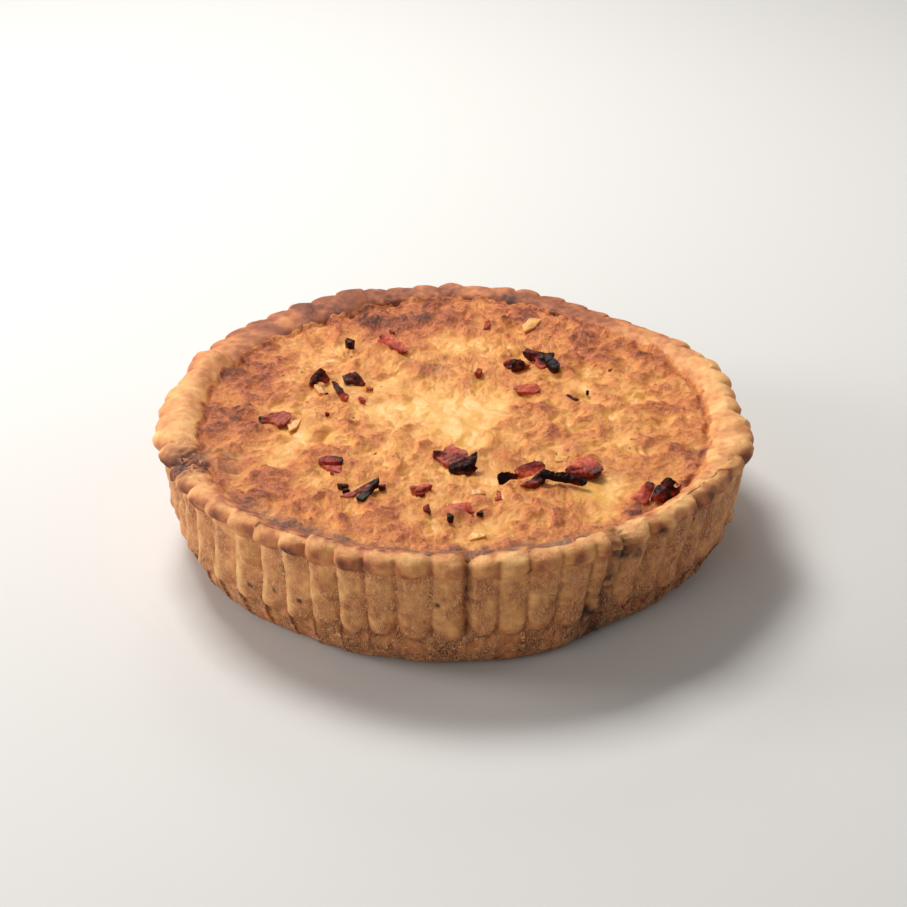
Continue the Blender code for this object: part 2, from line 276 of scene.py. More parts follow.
# Baked shortcrust: a dry, matt crumb of flour and butter. Its colour runs from pale gold through tan to
# brown as it bakes. Fat leaves worm-like pale streaks of about a millimetre where it touched the tin.
crust, tree, shader, place = finish("baked_shortcrust")
baked, pressed, stained_and_shaded, flecked, filmed = (
    add(tree, "ShaderNodeAttribute", attribute_name=name).outputs["Fac"]
    for name in ("baked", "pressed", "stained_and_shaded", "flecked", "glazed"))
mottle = add(tree, "ShaderNodeTexNoise", {"Vector": place, "Scale": 260.0, "Detail": 5.0, "Roughness": 0.62})
grain = add(tree, "ShaderNodeTexNoise", {
    "Vector": place, "Scale": 900.0, "Detail": 4.0, "Roughness": 0.6, "Distortion": 1.2})
uneven = add(tree, "ShaderNodeMath", {0: mottle, 1: -0.5}, operation="ADD")
deeper = add(tree, "ShaderNodeMath", {0: uneven, 1: 0.5, 2: baked}, operation="MULTIPLY_ADD")
rough_grain = add(tree, "ShaderNodeMath", {0: grain, 1: -0.5}, operation="ADD")
speckled = add(tree, "ShaderNodeMath", {0: rough_grain, 1: 0.5}, operation="MULTIPLY")
on_tin = add(tree, "ShaderNodeMath", {0: speckled, 1: pressed}, operation="MULTIPLY")
tone = add(tree, "ShaderNodeMath", {0: deeper, 1: on_tin}, operation="ADD")
plain = colours(tree, tone, (
    (0.0, "#F2BB76"), (0.2, "#E3A060"), (0.42, "#C87C49"), (0.62, "#A15934"), (0.82, "#713A21"),
    (1.0, "#442312")))
# Where egg and cream filmed it, the crust is redder.
egged = colours(tree, tone, (
    (0.0, "#EFB268"), (0.25, "#DD9450"), (0.45, "#CB783F"), (0.65, "#A9592F"), (0.85, "#7A3A1E"),
    (1.0, "#472110")))
base = add(tree, "ShaderNodeMix", {0: filmed, 6: plain, 7: egged}, data_type="RGBA")
# The streaks run up and down the wall, as the dough was pushed up the tin.
combed = add(tree, "ShaderNodeMapping", {0: place, 3: (1.0, 1.0, 0.42)})
streaks = add(tree, "ShaderNodeTexNoise", {
    "Vector": combed, "Scale": 560.0, "Detail": 2.0, "Roughness": 0.6, "Distortion": 2.2})
off_line = add(tree, "ShaderNodeMath", {0: streaks, 1: -0.5}, operation="ADD")
line = add(tree, "ShaderNodeMath", {0: off_line}, operation="ABSOLUTE")
worm = add(tree, "ShaderNodeMapRange", {
    "Value": line, "From Min": 0.01, "From Max": 0.065, "To Min": 0.9, "To Max": 0.0,
}, interpolation_type="SMOOTHSTEP")
worm_on_tin = add(tree, "ShaderNodeMath", {0: worm, 1: pressed}, operation="MULTIPLY")
streaked = add(tree, "ShaderNodeMix", {
    0: worm_on_tin, 6: base.outputs[2], 7: linear("#E6AF75")}, data_type="RGBA")
# Pale oval flecks of flour and fat, a millimetre long, lie thick on the foot.
cells = add(tree, "ShaderNodeTexVoronoi", {
    "Vector": add(tree, "ShaderNodeMapping", {0: place, 3: (1.0, 1.0, 1.9)}), "Scale": 420.0})
small = add(tree, "ShaderNodeMapRange", {
    "Value": cells.outputs["Distance"], "From Min": 0.18, "From Max": 0.32, "To Min": 0.9, "To Max": 0.0})
picked = add(tree, "ShaderNodeSeparateColor", {0: cells.outputs["Color"]})
chosen = add(tree, "ShaderNodeMath", {0: picked, 1: flecked}, operation="LESS_THAN")
fleck = add(tree, "ShaderNodeMath", {0: small, 1: chosen}, operation="MULTIPLY")
dotted = add(tree, "ShaderNodeMix", {
    0: fleck, 6: streaked.outputs[2], 7: linear("#E2B27E")}, data_type="RGBA")
# The dark mark colour: leaked filling, and painted shade in the crust's creases, crack, gap and steam hole.
leaked_and_shaded = add(tree, "ShaderNodeMix", {
    0: stained_and_shaded, 6: dotted.outputs[2], 7: linear("#42281C")}, data_type="RGBA")
crumb = add(tree, "ShaderNodeMath", {0: grain, 1: mottle}, operation="ADD")
raised = add(tree, "ShaderNodeMath", {0: worm_on_tin, 1: 0.4, 2: crumb}, operation="MULTIPLY_ADD")
crumbly = add(tree, "ShaderNodeBump", {"Strength": 0.75, "Distance": 0.0006, "Height": raised})
give(tree, shader, {"Base Color": leaked_and_shaded.outputs[2], "Roughness": 0.62, "IOR": 1.45, "Normal": crumbly})

# The case's section is rounded, then given close rows where it shows and few where it is hidden.
section = np.array(CASE_SECTION)
for _ in range(ROUNDING_PASSES):
    cut = np.empty((2 * len(section) - 2, 2))
    cut[0::2] = 0.75 * section[:-1] + 0.25 * section[1:]
    cut[1::2] = 0.25 * section[:-1] + 0.75 * section[1:]
    section = np.vstack((CASE_SECTION[0], cut[1:-1], CASE_SECTION[-1]))
distance = np.concatenate(([0.0], np.cumsum(np.hypot(*np.diff(section, axis=0).T))))
stops = [0.0]
while stops[-1] < distance[-1]:
    radius, height = (np.interp(stops[-1], distance, section[:, k]) for k in (0, 1))
    shows = radius > BASE_RADIUS - 1.0 and (height > RIM_FOOT_HEIGHT or height < 34.0 or radius > 94.0)
    row = (FINE_ROW if height > RIM_FOOT_HEIGHT else WALL_ROW) if shows else HIDDEN_ROW
    if not shows and radius > INNER_FLOOR_RADIUS - 1.0 and height > 30.0:
        row = 2.0
    stops.append(stops[-1] + row)
stops = np.array(stops[:-1] + [distance[-1]])
rows = np.column_stack([np.interp(stops, distance, section[:, k]) for k in (0, 1)])
rows[0, 0] = rows[-1, 0] = 0.0

case_sizes = {
    "Flutes": ("NodeSocketInt", FLUTES), "Sides per flute": ("NodeSocketInt", SIDES_PER_FLUTE),
    "Flute turn": ("NodeSocketFloat", FLUTE_TURN), "Flute depth": ("NodeSocketFloat", FLUTE_DEPTH * MM),
    "Flute foot": ("NodeSocketFloat", FLUTE_FOOT * MM), "Flute fade": ("NodeSocketFloat", FLUTE_FADE * MM),
    "Flute inner radius": ("NodeSocketFloat", FLUTE_INNER_RADIUS * MM),
    "Flute full radius": ("NodeSocketFloat", FLUTE_FULL_RADIUS * MM),
    "Crust": ("NodeSocketMaterial", crust),
}
turning, given, case_inputs = geometry_tree("fluted_case", "Section", case_sizes, "Case")
columns = add(turning, "ShaderNodeMath", {
    0: given["Flutes"], 1: given["Sides per flute"]}, operation="MULTIPLY")
corners = add(turning, "ShaderNodeMath", {0: columns, 1: 1.0}, operation="ADD")
row_count = add(turning, "GeometryNodeAttributeDomainSize", {"Geometry": given["Section"]}, component="MESH")
grid = add(turning, "GeometryNodeMeshGrid", {
    "Size X": 1.0, "Size Y": 1.0, "Vertices X": corners, "Vertices Y": row_count.outputs["Point Count"]})
flat = add(turning, "ShaderNodeSeparateXYZ", {0: add(turning, "GeometryNodeInputPosition")}).outputs
last_row = add(turning, "ShaderNodeMath", {0: row_count.outputs["Point Count"], 1: -1.0}, operation="ADD")
up = add(turning, "ShaderNodeMath", {0: flat["Y"], 1: 0.5}, operation="ADD")
row = add(turning, "ShaderNodeMath", {
    0: add(turning, "ShaderNodeMath", {0: up, 1: last_row}, operation="MULTIPLY")}, operation="ROUND")
sample = add(turning, "GeometryNodeSampleIndex", {
    "Geometry": given["Section"], "Value": add(turning, "GeometryNodeInputPosition"), "Index": row,
}, data_type="FLOAT_VECTOR", domain="POINT")
on_section = add(turning, "ShaderNodeSeparateXYZ", {0: sample}).outputs
around = add(turning, "ShaderNodeMath", {0: flat["X"], 1: 0.5}, operation="ADD")
degrees_round = add(turning, "ShaderNodeMath", {0: around, 1: 360.0}, operation="MULTIPLY")
from_groove = add(turning, "ShaderNodeMath", {0: degrees_round, 1: given["Flute turn"]}, operation="SUBTRACT")
counted = add(turning, "ShaderNodeMath", {0: from_groove, 1: given["Flutes"]}, operation="MULTIPLY")
pitches = add(turning, "ShaderNodeMath", {0: counted, 1: 360.0}, operation="DIVIDE")
across = add(turning, "ShaderNodeMath", {0: pitches}, operation="FRACT")
centred = add(turning, "ShaderNodeMath", {0: across, 1: 2.0, 2: -1.0}, operation="MULTIPLY_ADD")
off_crest = add(turning, "ShaderNodeMath", {0: centred}, operation="ABSOLUTE")
groove = add(turning, "ShaderNodeMath", {0: off_crest, 1: 2.1}, operation="POWER")
low = add(turning, "ShaderNodeMath", {0: given["Flute foot"], 1: given["Flute fade"]}, operation="SUBTRACT")
high = add(turning, "ShaderNodeMath", {0: given["Flute foot"], 1: given["Flute fade"]}, operation="ADD")
above_foot = add(turning, "ShaderNodeMapRange", {
    "Value": on_section["Z"], "From Min": low, "From Max": high}, interpolation_type="SMOOTHSTEP")
on_wall = add(turning, "ShaderNodeMapRange", {
    "Value": on_section["X"], "From Min": given["Flute inner radius"], "From Max": given["Flute full radius"],
}, interpolation_type="SMOOTHSTEP")
fluted = add(turning, "ShaderNodeMath", {0: above_foot, 1: on_wall}, operation="MULTIPLY")
full_depth = add(turning, "ShaderNodeMath", {0: groove, 1: given["Flute depth"]}, operation="MULTIPLY")
pressed_in = add(turning, "ShaderNodeMath", {0: full_depth, 1: fluted}, operation="MULTIPLY")
out = add(turning, "ShaderNodeMath", {0: on_section["X"], 1: pressed_in}, operation="SUBTRACT")
turn = add(turning, "ShaderNodeMath", {0: degrees_round}, operation="RADIANS")
east = add(turning, "ShaderNodeMath", {
    0: add(turning, "ShaderNodeMath", {0: turn}, operation="COSINE"), 1: out}, operation="MULTIPLY")
north = add(turning, "ShaderNodeMath", {
    0: add(turning, "ShaderNodeMath", {0: turn}, operation="SINE"), 1: out}, operation="MULTIPLY")
point = add(turning, "ShaderNodeCombineXYZ", {"X": east, "Y": north, "Z": on_section["Z"]})
numbered = add(turning, "GeometryNodeStoreNamedAttribute", {
    "Geometry": grid.outputs["Mesh"], "Name": "row", "Value": row}, data_type="FLOAT", domain="POINT")
bent = add(turning, "GeometryNodeSetPosition", {"Geometry": numbered, "Position": point})
joined = add(turning, "GeometryNodeMergeByDistance", {"Geometry": bent, "Distance": 0.001 * MM})
smooth = add(turning, "GeometryNodeSetShadeSmooth", {"Geometry": joined})
real = add(turning, "GeometryNodeRealizeInstances", {"Geometry": smooth})
coated = add(turning, "GeometryNodeSetMaterial", {"Geometry": real, "Material": given["Crust"]})
add(turning, "NodeGroupOutput", {0: coated})


def plain_mesh(thing, name):
    """The object's evaluated shape as its plain mesh, with its modifiers removed."""
    bpy.context.view_layer.update()
    shaped = bpy.data.meshes.new_from_object(thing.evaluated_get(bpy.context.evaluated_depsgraph_get()))
    thing.modifiers.clear()
    thing.data = shaped
    shaped.name = name
    return shaped


def outwards(mesh):
    """Turns the faces of a closed mesh outwards."""
    work = bmesh.new()
    work.from_mesh(mesh)
    bmesh.ops.recalc_face_normals(work, faces=work.faces)
    work.to_mesh(mesh)
    work.free()


def points_of(mesh):
    """The mesh's points in millimetres."""
    flat_list = np.empty(3 * len(mesh.vertices))
    mesh.vertices.foreach_get("co", flat_list)
    return flat_list.reshape(-1, 3) / MM


def set_points(mesh, points):
    mesh.vertices.foreach_set("co", (points * MM).ravel())
    mesh.update()


def mark(mesh, name, values):
    """Stores a value for each point, which the material reads."""
    layer = mesh.attributes.get(name) or mesh.attributes.new(name, "FLOAT", "POINT")
    layer.data.foreach_set("value", np.asarray(values, dtype=np.float32))


line_mesh = bpy.data.meshes.new("case_section")
line_mesh.from_pydata(
    [(r * MM, 0.0, z * MM) for r, z in rows], [(k, k + 1) for k in range(len(rows) - 1)], [])
case = put("pastry_case_baked", line_mesh)
use_tree(case, turning, case_sizes, case_inputs)
case_mesh = plain_mesh(case, "pastry_case_baked")

# What hands and oven did to the regular case: drifted flutes, lapped edges, cracks, knobs and blisters.
points = points_of(case_mesh)
row_of = np.empty(len(points))
case_mesh.attributes["row"].data.foreach_get("value", row_of)
row_of = np.rint(row_of).astype(int)
true_radius = rows[row_of, 0]
height = rows[row_of, 1]
radius = np.hypot(points[:, 0], points[:, 1])
angle = np.degrees(np.arctan2(points[:, 1], points[:, 0]))
groove_depth = true_radius - radius
flute_share = (angle - FLUTE_TURN) / FLUTE_PITCH
flute_number = np.floor(flute_share).astype(int) % FLUTES
groove_number = np.rint(flute_share).astype(int) % FLUTES
across = flute_share % 1.0
crest = 1.0 - np.abs(2.0 * across - 1.0) ** 2.5
# Each flute is a little different: how deep its groove is on the wall and at the rim, how far it stands
# out and up, how browned its knob is, and how low it ends.
each = np.random.default_rng(7)
flute_factor = each.uniform(0.6, 1.3, FLUTES)[groove_number]
rim_factor = each.uniform(0.15, 1.1, FLUTES)[groove_number]
flute_push = each.uniform(-0.45, 0.45, FLUTES)[flute_number]
flute_rise = each.uniform(-0.55, 0.55, FLUTES)[flute_number]
flute_smudge = each.uniform(0.45, 1.0, FLUTES)[flute_number]
flute_end = each.uniform(-1.2, 1.2, FLUTES)[flute_number]

outside = np.where(row_of > np.argmax(rows[:, 1]), 1.0, 0.0)
off_centre = ramp(true_radius, INNER_FLOOR_RADIUS, BASE_RADIUS)
on_inside = (1.0 - ramp(true_radius, RIM_INNER_RADIUS, FLUTE_FULL_RADIUS)) * (1.0 - outside)
on_rim = ramp(height, RIM_FOOT_HEIGHT, CASE_HEIGHT) * ramp(true_radius, RIM_INNER_RADIUS, RIM_CREST_RADIUS)
on_foot = off_centre * (1.0 - ramp(height, FOOT_BULGE_HEIGHT / 2, FOOT_BULGE_HEIGHT))
off_middle = np.abs(angle_between(angle, FOOT_BULGE_MIDDLE))
near_front = 1.0 - ramp(off_middle, FOOT_BULGE_HALF_WIDTH - FOOT_BULGE_STEP, FOOT_BULGE_HALF_WIDTH)

# Grooves are narrower than the flutes between them. Towards the sides the flutes lap like shingles,
# steep on the side away from the front and long on the other.
sideways = -0.2 * FLUTE_PITCH / (2 * np.pi) * np.sin(2 * np.pi * across)
shingled_left = bells(angle, SHINGLED_LEFT)
shingled_right = bells(angle, SHINGLED_RIGHT)
lapped = across ** (1 + shingled_left) - across - (1 - across) ** (1 + shingled_right) + (1 - across)
sideways += lapped * FLUTE_PITCH
across_now = np.clip(across + lapped, 0.0, 1.0)
sideways += bells(angle, FLUTE_DRIFTS)
# The knobs of the right-hand rope lie askew, and its flutes lean where the wall shrank.
sideways += 0.4 * (true_radius - 96.0) * bell(angle, -27.0, 16.0) * ramp(height, 38.0, 42.0)
sideways += 0.12 * (height - 30.0) * bell(angle, -36.0, 20.0) * (1.0 - ramp(height, 36.0, 40.0))
turned_by = angle + sideways * outside * ramp(true_radius, BASE_RADIUS, 93.0)

rise, step = lap(angle)
lift = RIM_WAVE * (0.6 * np.sin(np.radians(3 * angle + 40)) + 0.4 * np.sin(np.radians(7 * angle))) + rise
lift += sum(up * bell(angle, middle, half) for middle, half, _, _, up in SWELLS)
lift -= bells(angle, RIM_NICKS)
upper = ramp(height, FLUTE_FOOT, RIM_FOOT_HEIGHT)
swell = sum(
    (at_rim * upper + at_foot * (1.0 - upper)) * bell(angle, middle, half)
    for middle, half, at_rim, at_foot, _ in SWELLS) + step * upper

# The upper wall is smoother to the right of the front, where the flutes only print low down.
smoother = 1.0 - 0.75 * bell(angle, -74.0, 10.0) * ramp(height, 26.0, 33.0) * (1.0 - ramp(height, 38.0, 40.0))
# On the left the sheet's edge was folded over into a thick smooth roll, with a blunt end at the back.
round_once = angle % 360.0
on_roll = ramp(round_once, ROLL_START, ROLL_START + 1.5) * (1.0 - ramp(round_once, ROLL_FADES, ROLL_END))
roll_end = ramp(round_once, ROLL_START, ROLL_START + 0.9)
roll_end *= 1.0 - ramp(round_once, ROLL_START + 0.9, ROLL_START + 5.5)
smoother *= 1.0 - 0.55 * on_roll * ramp(height, 37.0, 41.0)
# Along the front and the right-hand rope the knobs run together on top.
run_together = np.clip(bell(angle, -95.0, 42.0) + bell(angle, -30.0, 22.0), 0.0, 1.0)
smoother *= 1.0 - 0.8 * run_together * ramp(height, 42.6, 44.6)
upper_front = bell(angle, -95.0, 26.0) * ramp(height, 17.0, 31.0) * (1.0 - ramp(height, 38.0, 40.0))
smoother *= 1.0 - 0.62 * upper_front
smoother *= 1.0 - 0.25 * bell(angle, -92.0, 30.0)
at_band = ramp(height, 37.5, 40.5)
depth_now = flute_factor * (1.0 - at_band) + np.maximum(rim_factor, 0.75 * (1.0 - run_together)) * at_band
depth_now *= 1.0 + bells(angle, DEEPER_FLUTES)
lift += (2.0 * on_roll + 1.2 * roll_end) * hump((true_radius - 90.0) / 5.5)
lift += flute_rise * crest * ramp(true_radius, 90.0, 94.0) * (1.0 - 0.6 * on_roll)
moved = true_radius - groove_depth * depth_now * smoother
moved += flute_push * outside * upper * crest
moved += FOOT_BULGE * near_front * on_foot
moved += inner_lean(angle) * on_inside * ramp(height, FLOOR_THICKNESS, RIM_INNER_HEIGHT)
moved += swell * off_centre * (1.0 - on_inside)
# Flutes end low down in rounded fingers, with the foot set back beneath them.
finger_end = 14.5 + flute_end + 6.0 * np.abs(2 * across - 1) ** 2.5
under_finger = outside * ramp(finger_end - height, -0.6, 2.4) * ramp(height, 1.0, 12.0)
moved -= 1.7 * under_finger * crest
moved += 0.7 * outside * crest * hump((height - finger_end - 2.8) / 2.6)
# The rim's knobs stand out over the wall, and the wall is drawn in under them.
band_end = 39.4 - 1.6 * crest + 0.7 * np.sin(np.radians(23 * angle)) + 0.5 * np.sin(np.radians(41 * angle))
knob = outside * hump((height - 41.6) / 2.4)
moved += knob * (0.9 * crest * (1.0 - 0.5 * run_together) - 0.3)
moved -= 0.9 * outside * hump((height - band_end) / 0.9)
# A deep crease runs down the front wall from the rim's nick, and one beside the dark stain.
for middle, half, depth, low_end in CREASES:
    moved -= outside * depth * bell(turned_by, middle, half) * ramp(height, low_end, low_end + 3.0)

shaped = np.column_stack((*on_circle(moved, turned_by), height + lift * on_rim))
normal = np.column_stack((*on_circle(1.0, turned_by), np.zeros(len(angle))))
top_share = ramp(height, 42.0, 45.0)
normal = normal * (1.0 - top_share[:, None]) * (2.0 * outside[:, None] - 1.0)
normal += (0, 0, 1) * top_share[:, None]
visible = ramp(height + 10.0 * outside, 30.0, 38.0) * ramp(true_radius, BASE_RADIUS - 2.0, BASE_RADIUS + 2.0)
visible = np.maximum(visible, outside * off_centre * ramp(height, 0.2, 2.0))
dents = lumps(shaped, 3.0, 14)
rough_out = 0.55 * lumps(shaped, 9.0, 11) + 0.36 * lumps(shaped, 4.2, 12) + 0.22 * lumps(shaped, 1.9, 13)
rough_out += 0.45 * np.maximum(0.0, dents - 0.25) * (1.0 - top_share) - 0.8 * np.maximum(0.0, -dents - 0.3)
shaped += normal * (rough_out * visible * (1.0 - 0.35 * top_share))[:, None]
# The crack at the left tore the dough into dark fibres that run across the rim. The hollows between them are
# given painted shade further down.
torn = bell(turned_by, CRACK_ANGLE, CRACK_HALF_WIDTH) * ramp(height, 38.0, 42.0)
torn *= ramp(true_radius, RIM_INNER_RADIUS - 4.0, 87.0)
across_fibres = np.column_stack((turned_by * 1.7 * 2.2, true_radius * 0.6, height * 0.4))
fibres = lumps(across_fibres, 1.9, 15, 2)
shaped[:, 2] += torn * (1.7 * fibres - 1.3)
# The bar at the front right ends in a crumbling gap.
gap = bell(turned_by, GAP_ANGLE, GAP_HALF_WIDTH) * ramp(height, 34.0, 40.0) * ramp(true_radius, 88.0, 91.0)
shaped += normal * (gap * (0.9 * lumps(shaped, 1.6, 16, 2) - 0.8))[:, None]

# The hole blown through the rim by steam, and pale blisters round it.
around_hole = np.hypot(angle_between(turned_by, HOLE_ANGLE) * HOLE_DEGREE, shaped[:, 2] - HOLE_HEIGHT)
shaped -= normal * (outside * HOLE_DEPTH * hump(around_hole / HOLE_RADIUS))[:, None]
blistered = np.zeros(len(angle))
for blister_angle, blister_radius, size, up in BLISTERS:
    off_blister = np.hypot(
        angle_between(turned_by, blister_angle) * BLISTER_DEGREE, true_radius - blister_radius)
    swollen = hump(np.where(height > BLISTERS_ABOVE, off_blister, 9.0) / size)
    blistered += swollen
    shaped += normal * (up * swollen)[:, None]
set_points(case_mesh, shaped)
outwards(case_mesh)

# How baked each place is, from 0, pale, to 1, dark.
patchy = lumps(shaped, 7.0, 21, 3)
fine_patchy = lumps(shaped, 2.4, 22, 2)
front_or_back = np.cos(np.radians(angle + 95.0))
tan = 0.29 + 0.05 * front_or_back + 0.26 * ramp(24.0 - height, 0.0, 20.0)
tan += 0.12 * bell(angle, -42.0, 26.0) + 0.10 * bell(angle, -150.0, 25.0) * ramp(height, 14.0, 30.0) + 0.01
band = ramp(height, band_end - 0.3, band_end + 0.4) * outside
on_top = ramp(height, 43.0, 44.8)
smudged = hump((across_now - 0.38 + 0.25 * fine_patchy) / 0.28) * ramp(44.2 - height, 0.0, 3.0)
face = 0.27 + 0.33 * smudged * flute_smudge * (0.8 + 0.9 * patchy) + 0.2 * patchy
face += bells(turned_by, FACE_TONES)
gold = 0.17 + 0.16 * patchy + 0.10 * fine_patchy + bells(turned_by, GOLD_TONES)
baked_now = tan + 0.20 * patchy + 0.14 * fine_patchy
baked_now = baked_now * (1 - band) + face * band
baked_now = np.where(outside > 0.5, baked_now * (1 - on_top) + gold * on_top, gold)
# Painted highlight: the steep edge of each flute's crest is paler on the wall, most where the flutes shingle
# to the left.
painted_crest_highlight = outside * hump((across_now - 0.13) / 0.11) * np.clip(shingled_left, 0.2, 1.0)
baked_now -= 0.34 * painted_crest_highlight * ramp(height, 4.0, 10.0) * (1 - on_top)
# Painted shade: the grooves between the flutes are darker below the gold top, with some browning there too.
groove_shade_and_browning = ramp(across_now, 0.80, 0.98) + ramp(0.05 - across_now, 0.0, 0.04)
baked_now += 0.16 * outside * groove_shade_and_browning * (1 - on_top)
# Painted shade: a dark band across each flute's rounded lower end, over the set-back foot beneath it.
baked_now += 0.22 * outside * hump((height - finger_end + 1.0) / 1.2) * crest
# The filling glazed the inside of the rim, and in front the top of it too.
glazed_to = 89.8 + inner_lean(angle) + 3.8 * bell(angle, -104.0, 34.0) + 1.6 * patchy + 0.9 * fine_patchy
glazed = (1.0 - outside * ramp(44.4 - height, 0.0, 0.8)) * ramp(glazed_to - true_radius, -1.6, 2.2)
glazed *= 1.0 - 0.75 * bell(angle, 8.0, 42.0)
baked_now += glazed * (0.22 + 0.14 * fine_patchy + 0.24 * bell(turned_by, -118.0, 26.0))
baked_now += 0.4 * torn
mark(case_mesh, "glazed", np.clip(glazed * (0.8 + fine_patchy), 0.0, 1.0))
for dark_angle, dark_radius, size in SCORCHED_KNOBS:
    off_dark = np.hypot(angle_between(turned_by, dark_angle) * KNOB_DEGREE, true_radius - dark_radius)
    baked_now += np.where(height > SCORCHES_ABOVE, 0.26 * hump(off_dark / size), 0.0)
baked_now -= 0.35 * np.clip(blistered, 0.0, 1.0)
base_side = (row_of > np.argmax(rows[:, 1])) & (true_radius < BASE_RADIUS + 2.0)
baked_now = np.where(base_side, 0.5 + 0.1 * patchy, baked_now)
mark(case_mesh, "baked", np.clip(baked_now, 0.0, 1.0))
on_tin = outside * (1.0 - band)
mark(case_mesh, "pressed", np.clip(on_tin * (0.85 + 0.9 * patchy), 0.0, 1.0))
mark(case_mesh, "flecked", on_tin * (0.16 + 0.40 * ramp(17.0 - height, 0.0, 8.0)))
# Dark marks: leaks and specks, and painted shade in the gap, the creases, the crack and the steam hole.
stain_and_shade = np.zeros(len(angle))
speckled_by = np.clip(0.75 + 1.1 * lumps(shaped, 3.0, 23, 2), 0.0, 1.6)
for middle, half, mid_height, half_height, strength in LEAKS:
    stain_and_shade += strength * outside * bell(turned_by, middle, half) * hump((height - mid_height) / half_height)
# Painted shade in the crumbling gap and down the crease below the crack at -158 degrees.
stain_and_shade += 0.6 * gap + 0.4 * bell(turned_by, -158.0, 1.6) * outside * ramp(height, 28.0, 36.0)
stain_and_shade *= speckled_by
# Painted shade: the hollows between the crack's torn fibres and the inside of the steam hole are darkened.
stain_and_shade += 1.2 * torn * np.clip(0.9 - 2.0 * fibres, 0.0, 1.0)
stain_and_shade += 1.3 * hump(around_hole / 1.35) * outside
for speck_angle, speck_height, size in WALL_SPECKS:
    off_speck = np.hypot(
        angle_between(turned_by, speck_angle) * SPECK_DEGREE, shaped[:, 2] - speck_height)
    stain_and_shade += outside * ramp(size + 0.5 - off_speck, 0.0, 0.7)
mark(case_mesh, "stained_and_shaded", np.clip(stain_and_shade, 0.0, 1.0))


def bake_map(mesh, flat_uv):
    """Gives each face corner its place on the map that the finish is baked to."""
    mesh.uv_layers.new(name="OFBake").uv.foreach_set("vector", np.asarray(flat_uv, dtype=np.float32).ravel())


def corners_of(mesh):
    """The point and the face of each face corner."""
    point_index = np.empty(len(mesh.loops), dtype=np.int32)
    mesh.loops.foreach_get("vertex_index", point_index)
    sides = np.empty(len(mesh.polygons), dtype=np.int32)
    mesh.polygons.foreach_get("loop_total", sides)
    return point_index, np.repeat(np.arange(len(sides)), sides)


# The bake map: four strips, one for each quarter turn, and a disc for the base. Hidden rows get little room.
BASE_DISC = 0.09
past_crest = np.arange(len(rows)) > np.argmax(rows[:, 1])
in_sight = (rows[:, 0] > 84.0) & ((rows[:, 1] > RIM_FOOT_HEIGHT) | past_crest)
shows_more = np.where(in_sight, 1.0, 0.1)
along_section = np.cumsum(shows_more * np.gradient(stops))
base_row = int(np.nonzero(rows[:, 0] > BASE_RADIUS - 1.0)[0][-1])
along_section = np.clip(along_section / along_section[base_row], 0.0, 1.0)
point_index, face_index = corners_of(case_mesh)
place_of = points_of(case_mesh)[point_index]
sums = np.column_stack([np.bincount(face_index, place_of[:, k]) for k in range(3)])
face_rows = np.bincount(face_index, row_of[point_index]) / np.bincount(face_index)
face_angle = (np.degrees(np.arctan2(sums[:, 1], sums[:, 0])) % 360.0)[face_index]
quarter = np.floor(face_angle / 90.0)
corner_angle = np.degrees(np.arctan2(place_of[:, 1], place_of[:, 0]))
on_strip = 45.0 + angle_between(corner_angle, quarter * 90.0 + 45.0)
on_axis = np.hypot(place_of[:, 0], place_of[:, 1]) < 0.01
on_strip = np.where(on_axis, 45.0, on_strip)
strip_u = 0.02 + 0.96 * on_strip / 90.0
strip_v = 0.2 * quarter + 0.005 + 0.19 * along_section[row_of[point_index]]
disc_u = 0.1 + BASE_DISC * place_of[:, 0] / 100.0
disc_v = 0.9 + BASE_DISC * place_of[:, 1] / 100.0
is_base = face_rows[face_index] > base_row
bake_map(case_mesh, np.column_stack((np.where(is_base, disc_u, strip_u), np.where(is_base, disc_v, strip_v))))
case_mesh.update()
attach(case, "root")
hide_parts("pastry_case")

# Custard: eggs, cream and cheese baked in the case until it set, puffed and sank again. It stays yellow
# and smooth in the hollows, and has a thin wrinkled skin, browned on every swelling and along the edge.
CUSTARD_LEVEL, CUSTARD_EDGE_RISE, CUSTARD_EDGE_WIDTH = 41.3, 1.3, 12.0
CUSTARD_CELLS = 300
CUSTARD_OVERLAP = 0.9
# Where the filling rose over the rim's inside and scorched there: angle, half width, mm.
CLIMBS = ((-130.0, 12.0, 1.6), (-112.0, 9.0, 2.4), (-92.0, 14.0, 4.2), (-68.0, 12.0, 4.6))
# Browned swellings: x, y, radius and height in mm.
MOUNDS = (
    (-58, -42, 7, 2.0), (-46, -53, 9, 1.7), (-69, -50, 7, 1.3), (-60, 22, 12, 1.4), (-70, -14, 12, 1.0),
    (-5, 69, 12, 1.8), (48, 56, 9, 1.9), (50, 43, 8, 1.6), (70, -26, 14, 1.3), (29, -60, 12, 1.9),
    (58, -64, 8, 1.2), (-22, -68, 14, 1.4), (70, 34, 12, 1.2), (-36, 74, 11, 1.2), (20, 80, 11, 1.0),
    (55, -3, 10, 1.1), (27, 2, 9, 0.9), (-9, 33, 7, 0.8), (-20, 40, 6, 1.2),
)
# Hollows where the custard stayed pale and smooth: x, y, radius in mm and paleness.
POOLS = (
    (-8, 6, 10, 0.9), (4, 2, 13, 1.0), (16, 8, 6, 0.9), (2, -8, 10, 0.8), (4, -17, 5, 0.8), (2, 52, 9, 0.9),
    (-55, -8, 6, 0.7), (-57, -26, 5, 0.7), (-50, -16, 5, 0.7), (-58, -33, 4, 0.6), (-45, -45, 5, 0.6),
    (-37, 20, 8, 0.6), (-25, 3, 8, 0.8), (50, -47, 8, 1.0), (46, -53, 6, 0.9), (47, -65, 5, 0.8),
    (45, 18, 6, 0.7), (64, 15, 4, 0.6), (57, -20, 5, 0.6), (65, -2, 3, 0.5), (10, -75, 7, 0.7),
    (15, -43, 6, 0.8), (-12, -68, 4, 0.5), (-40, 55, 7, 0.4), (-20, 22, 8, 0.6),
)
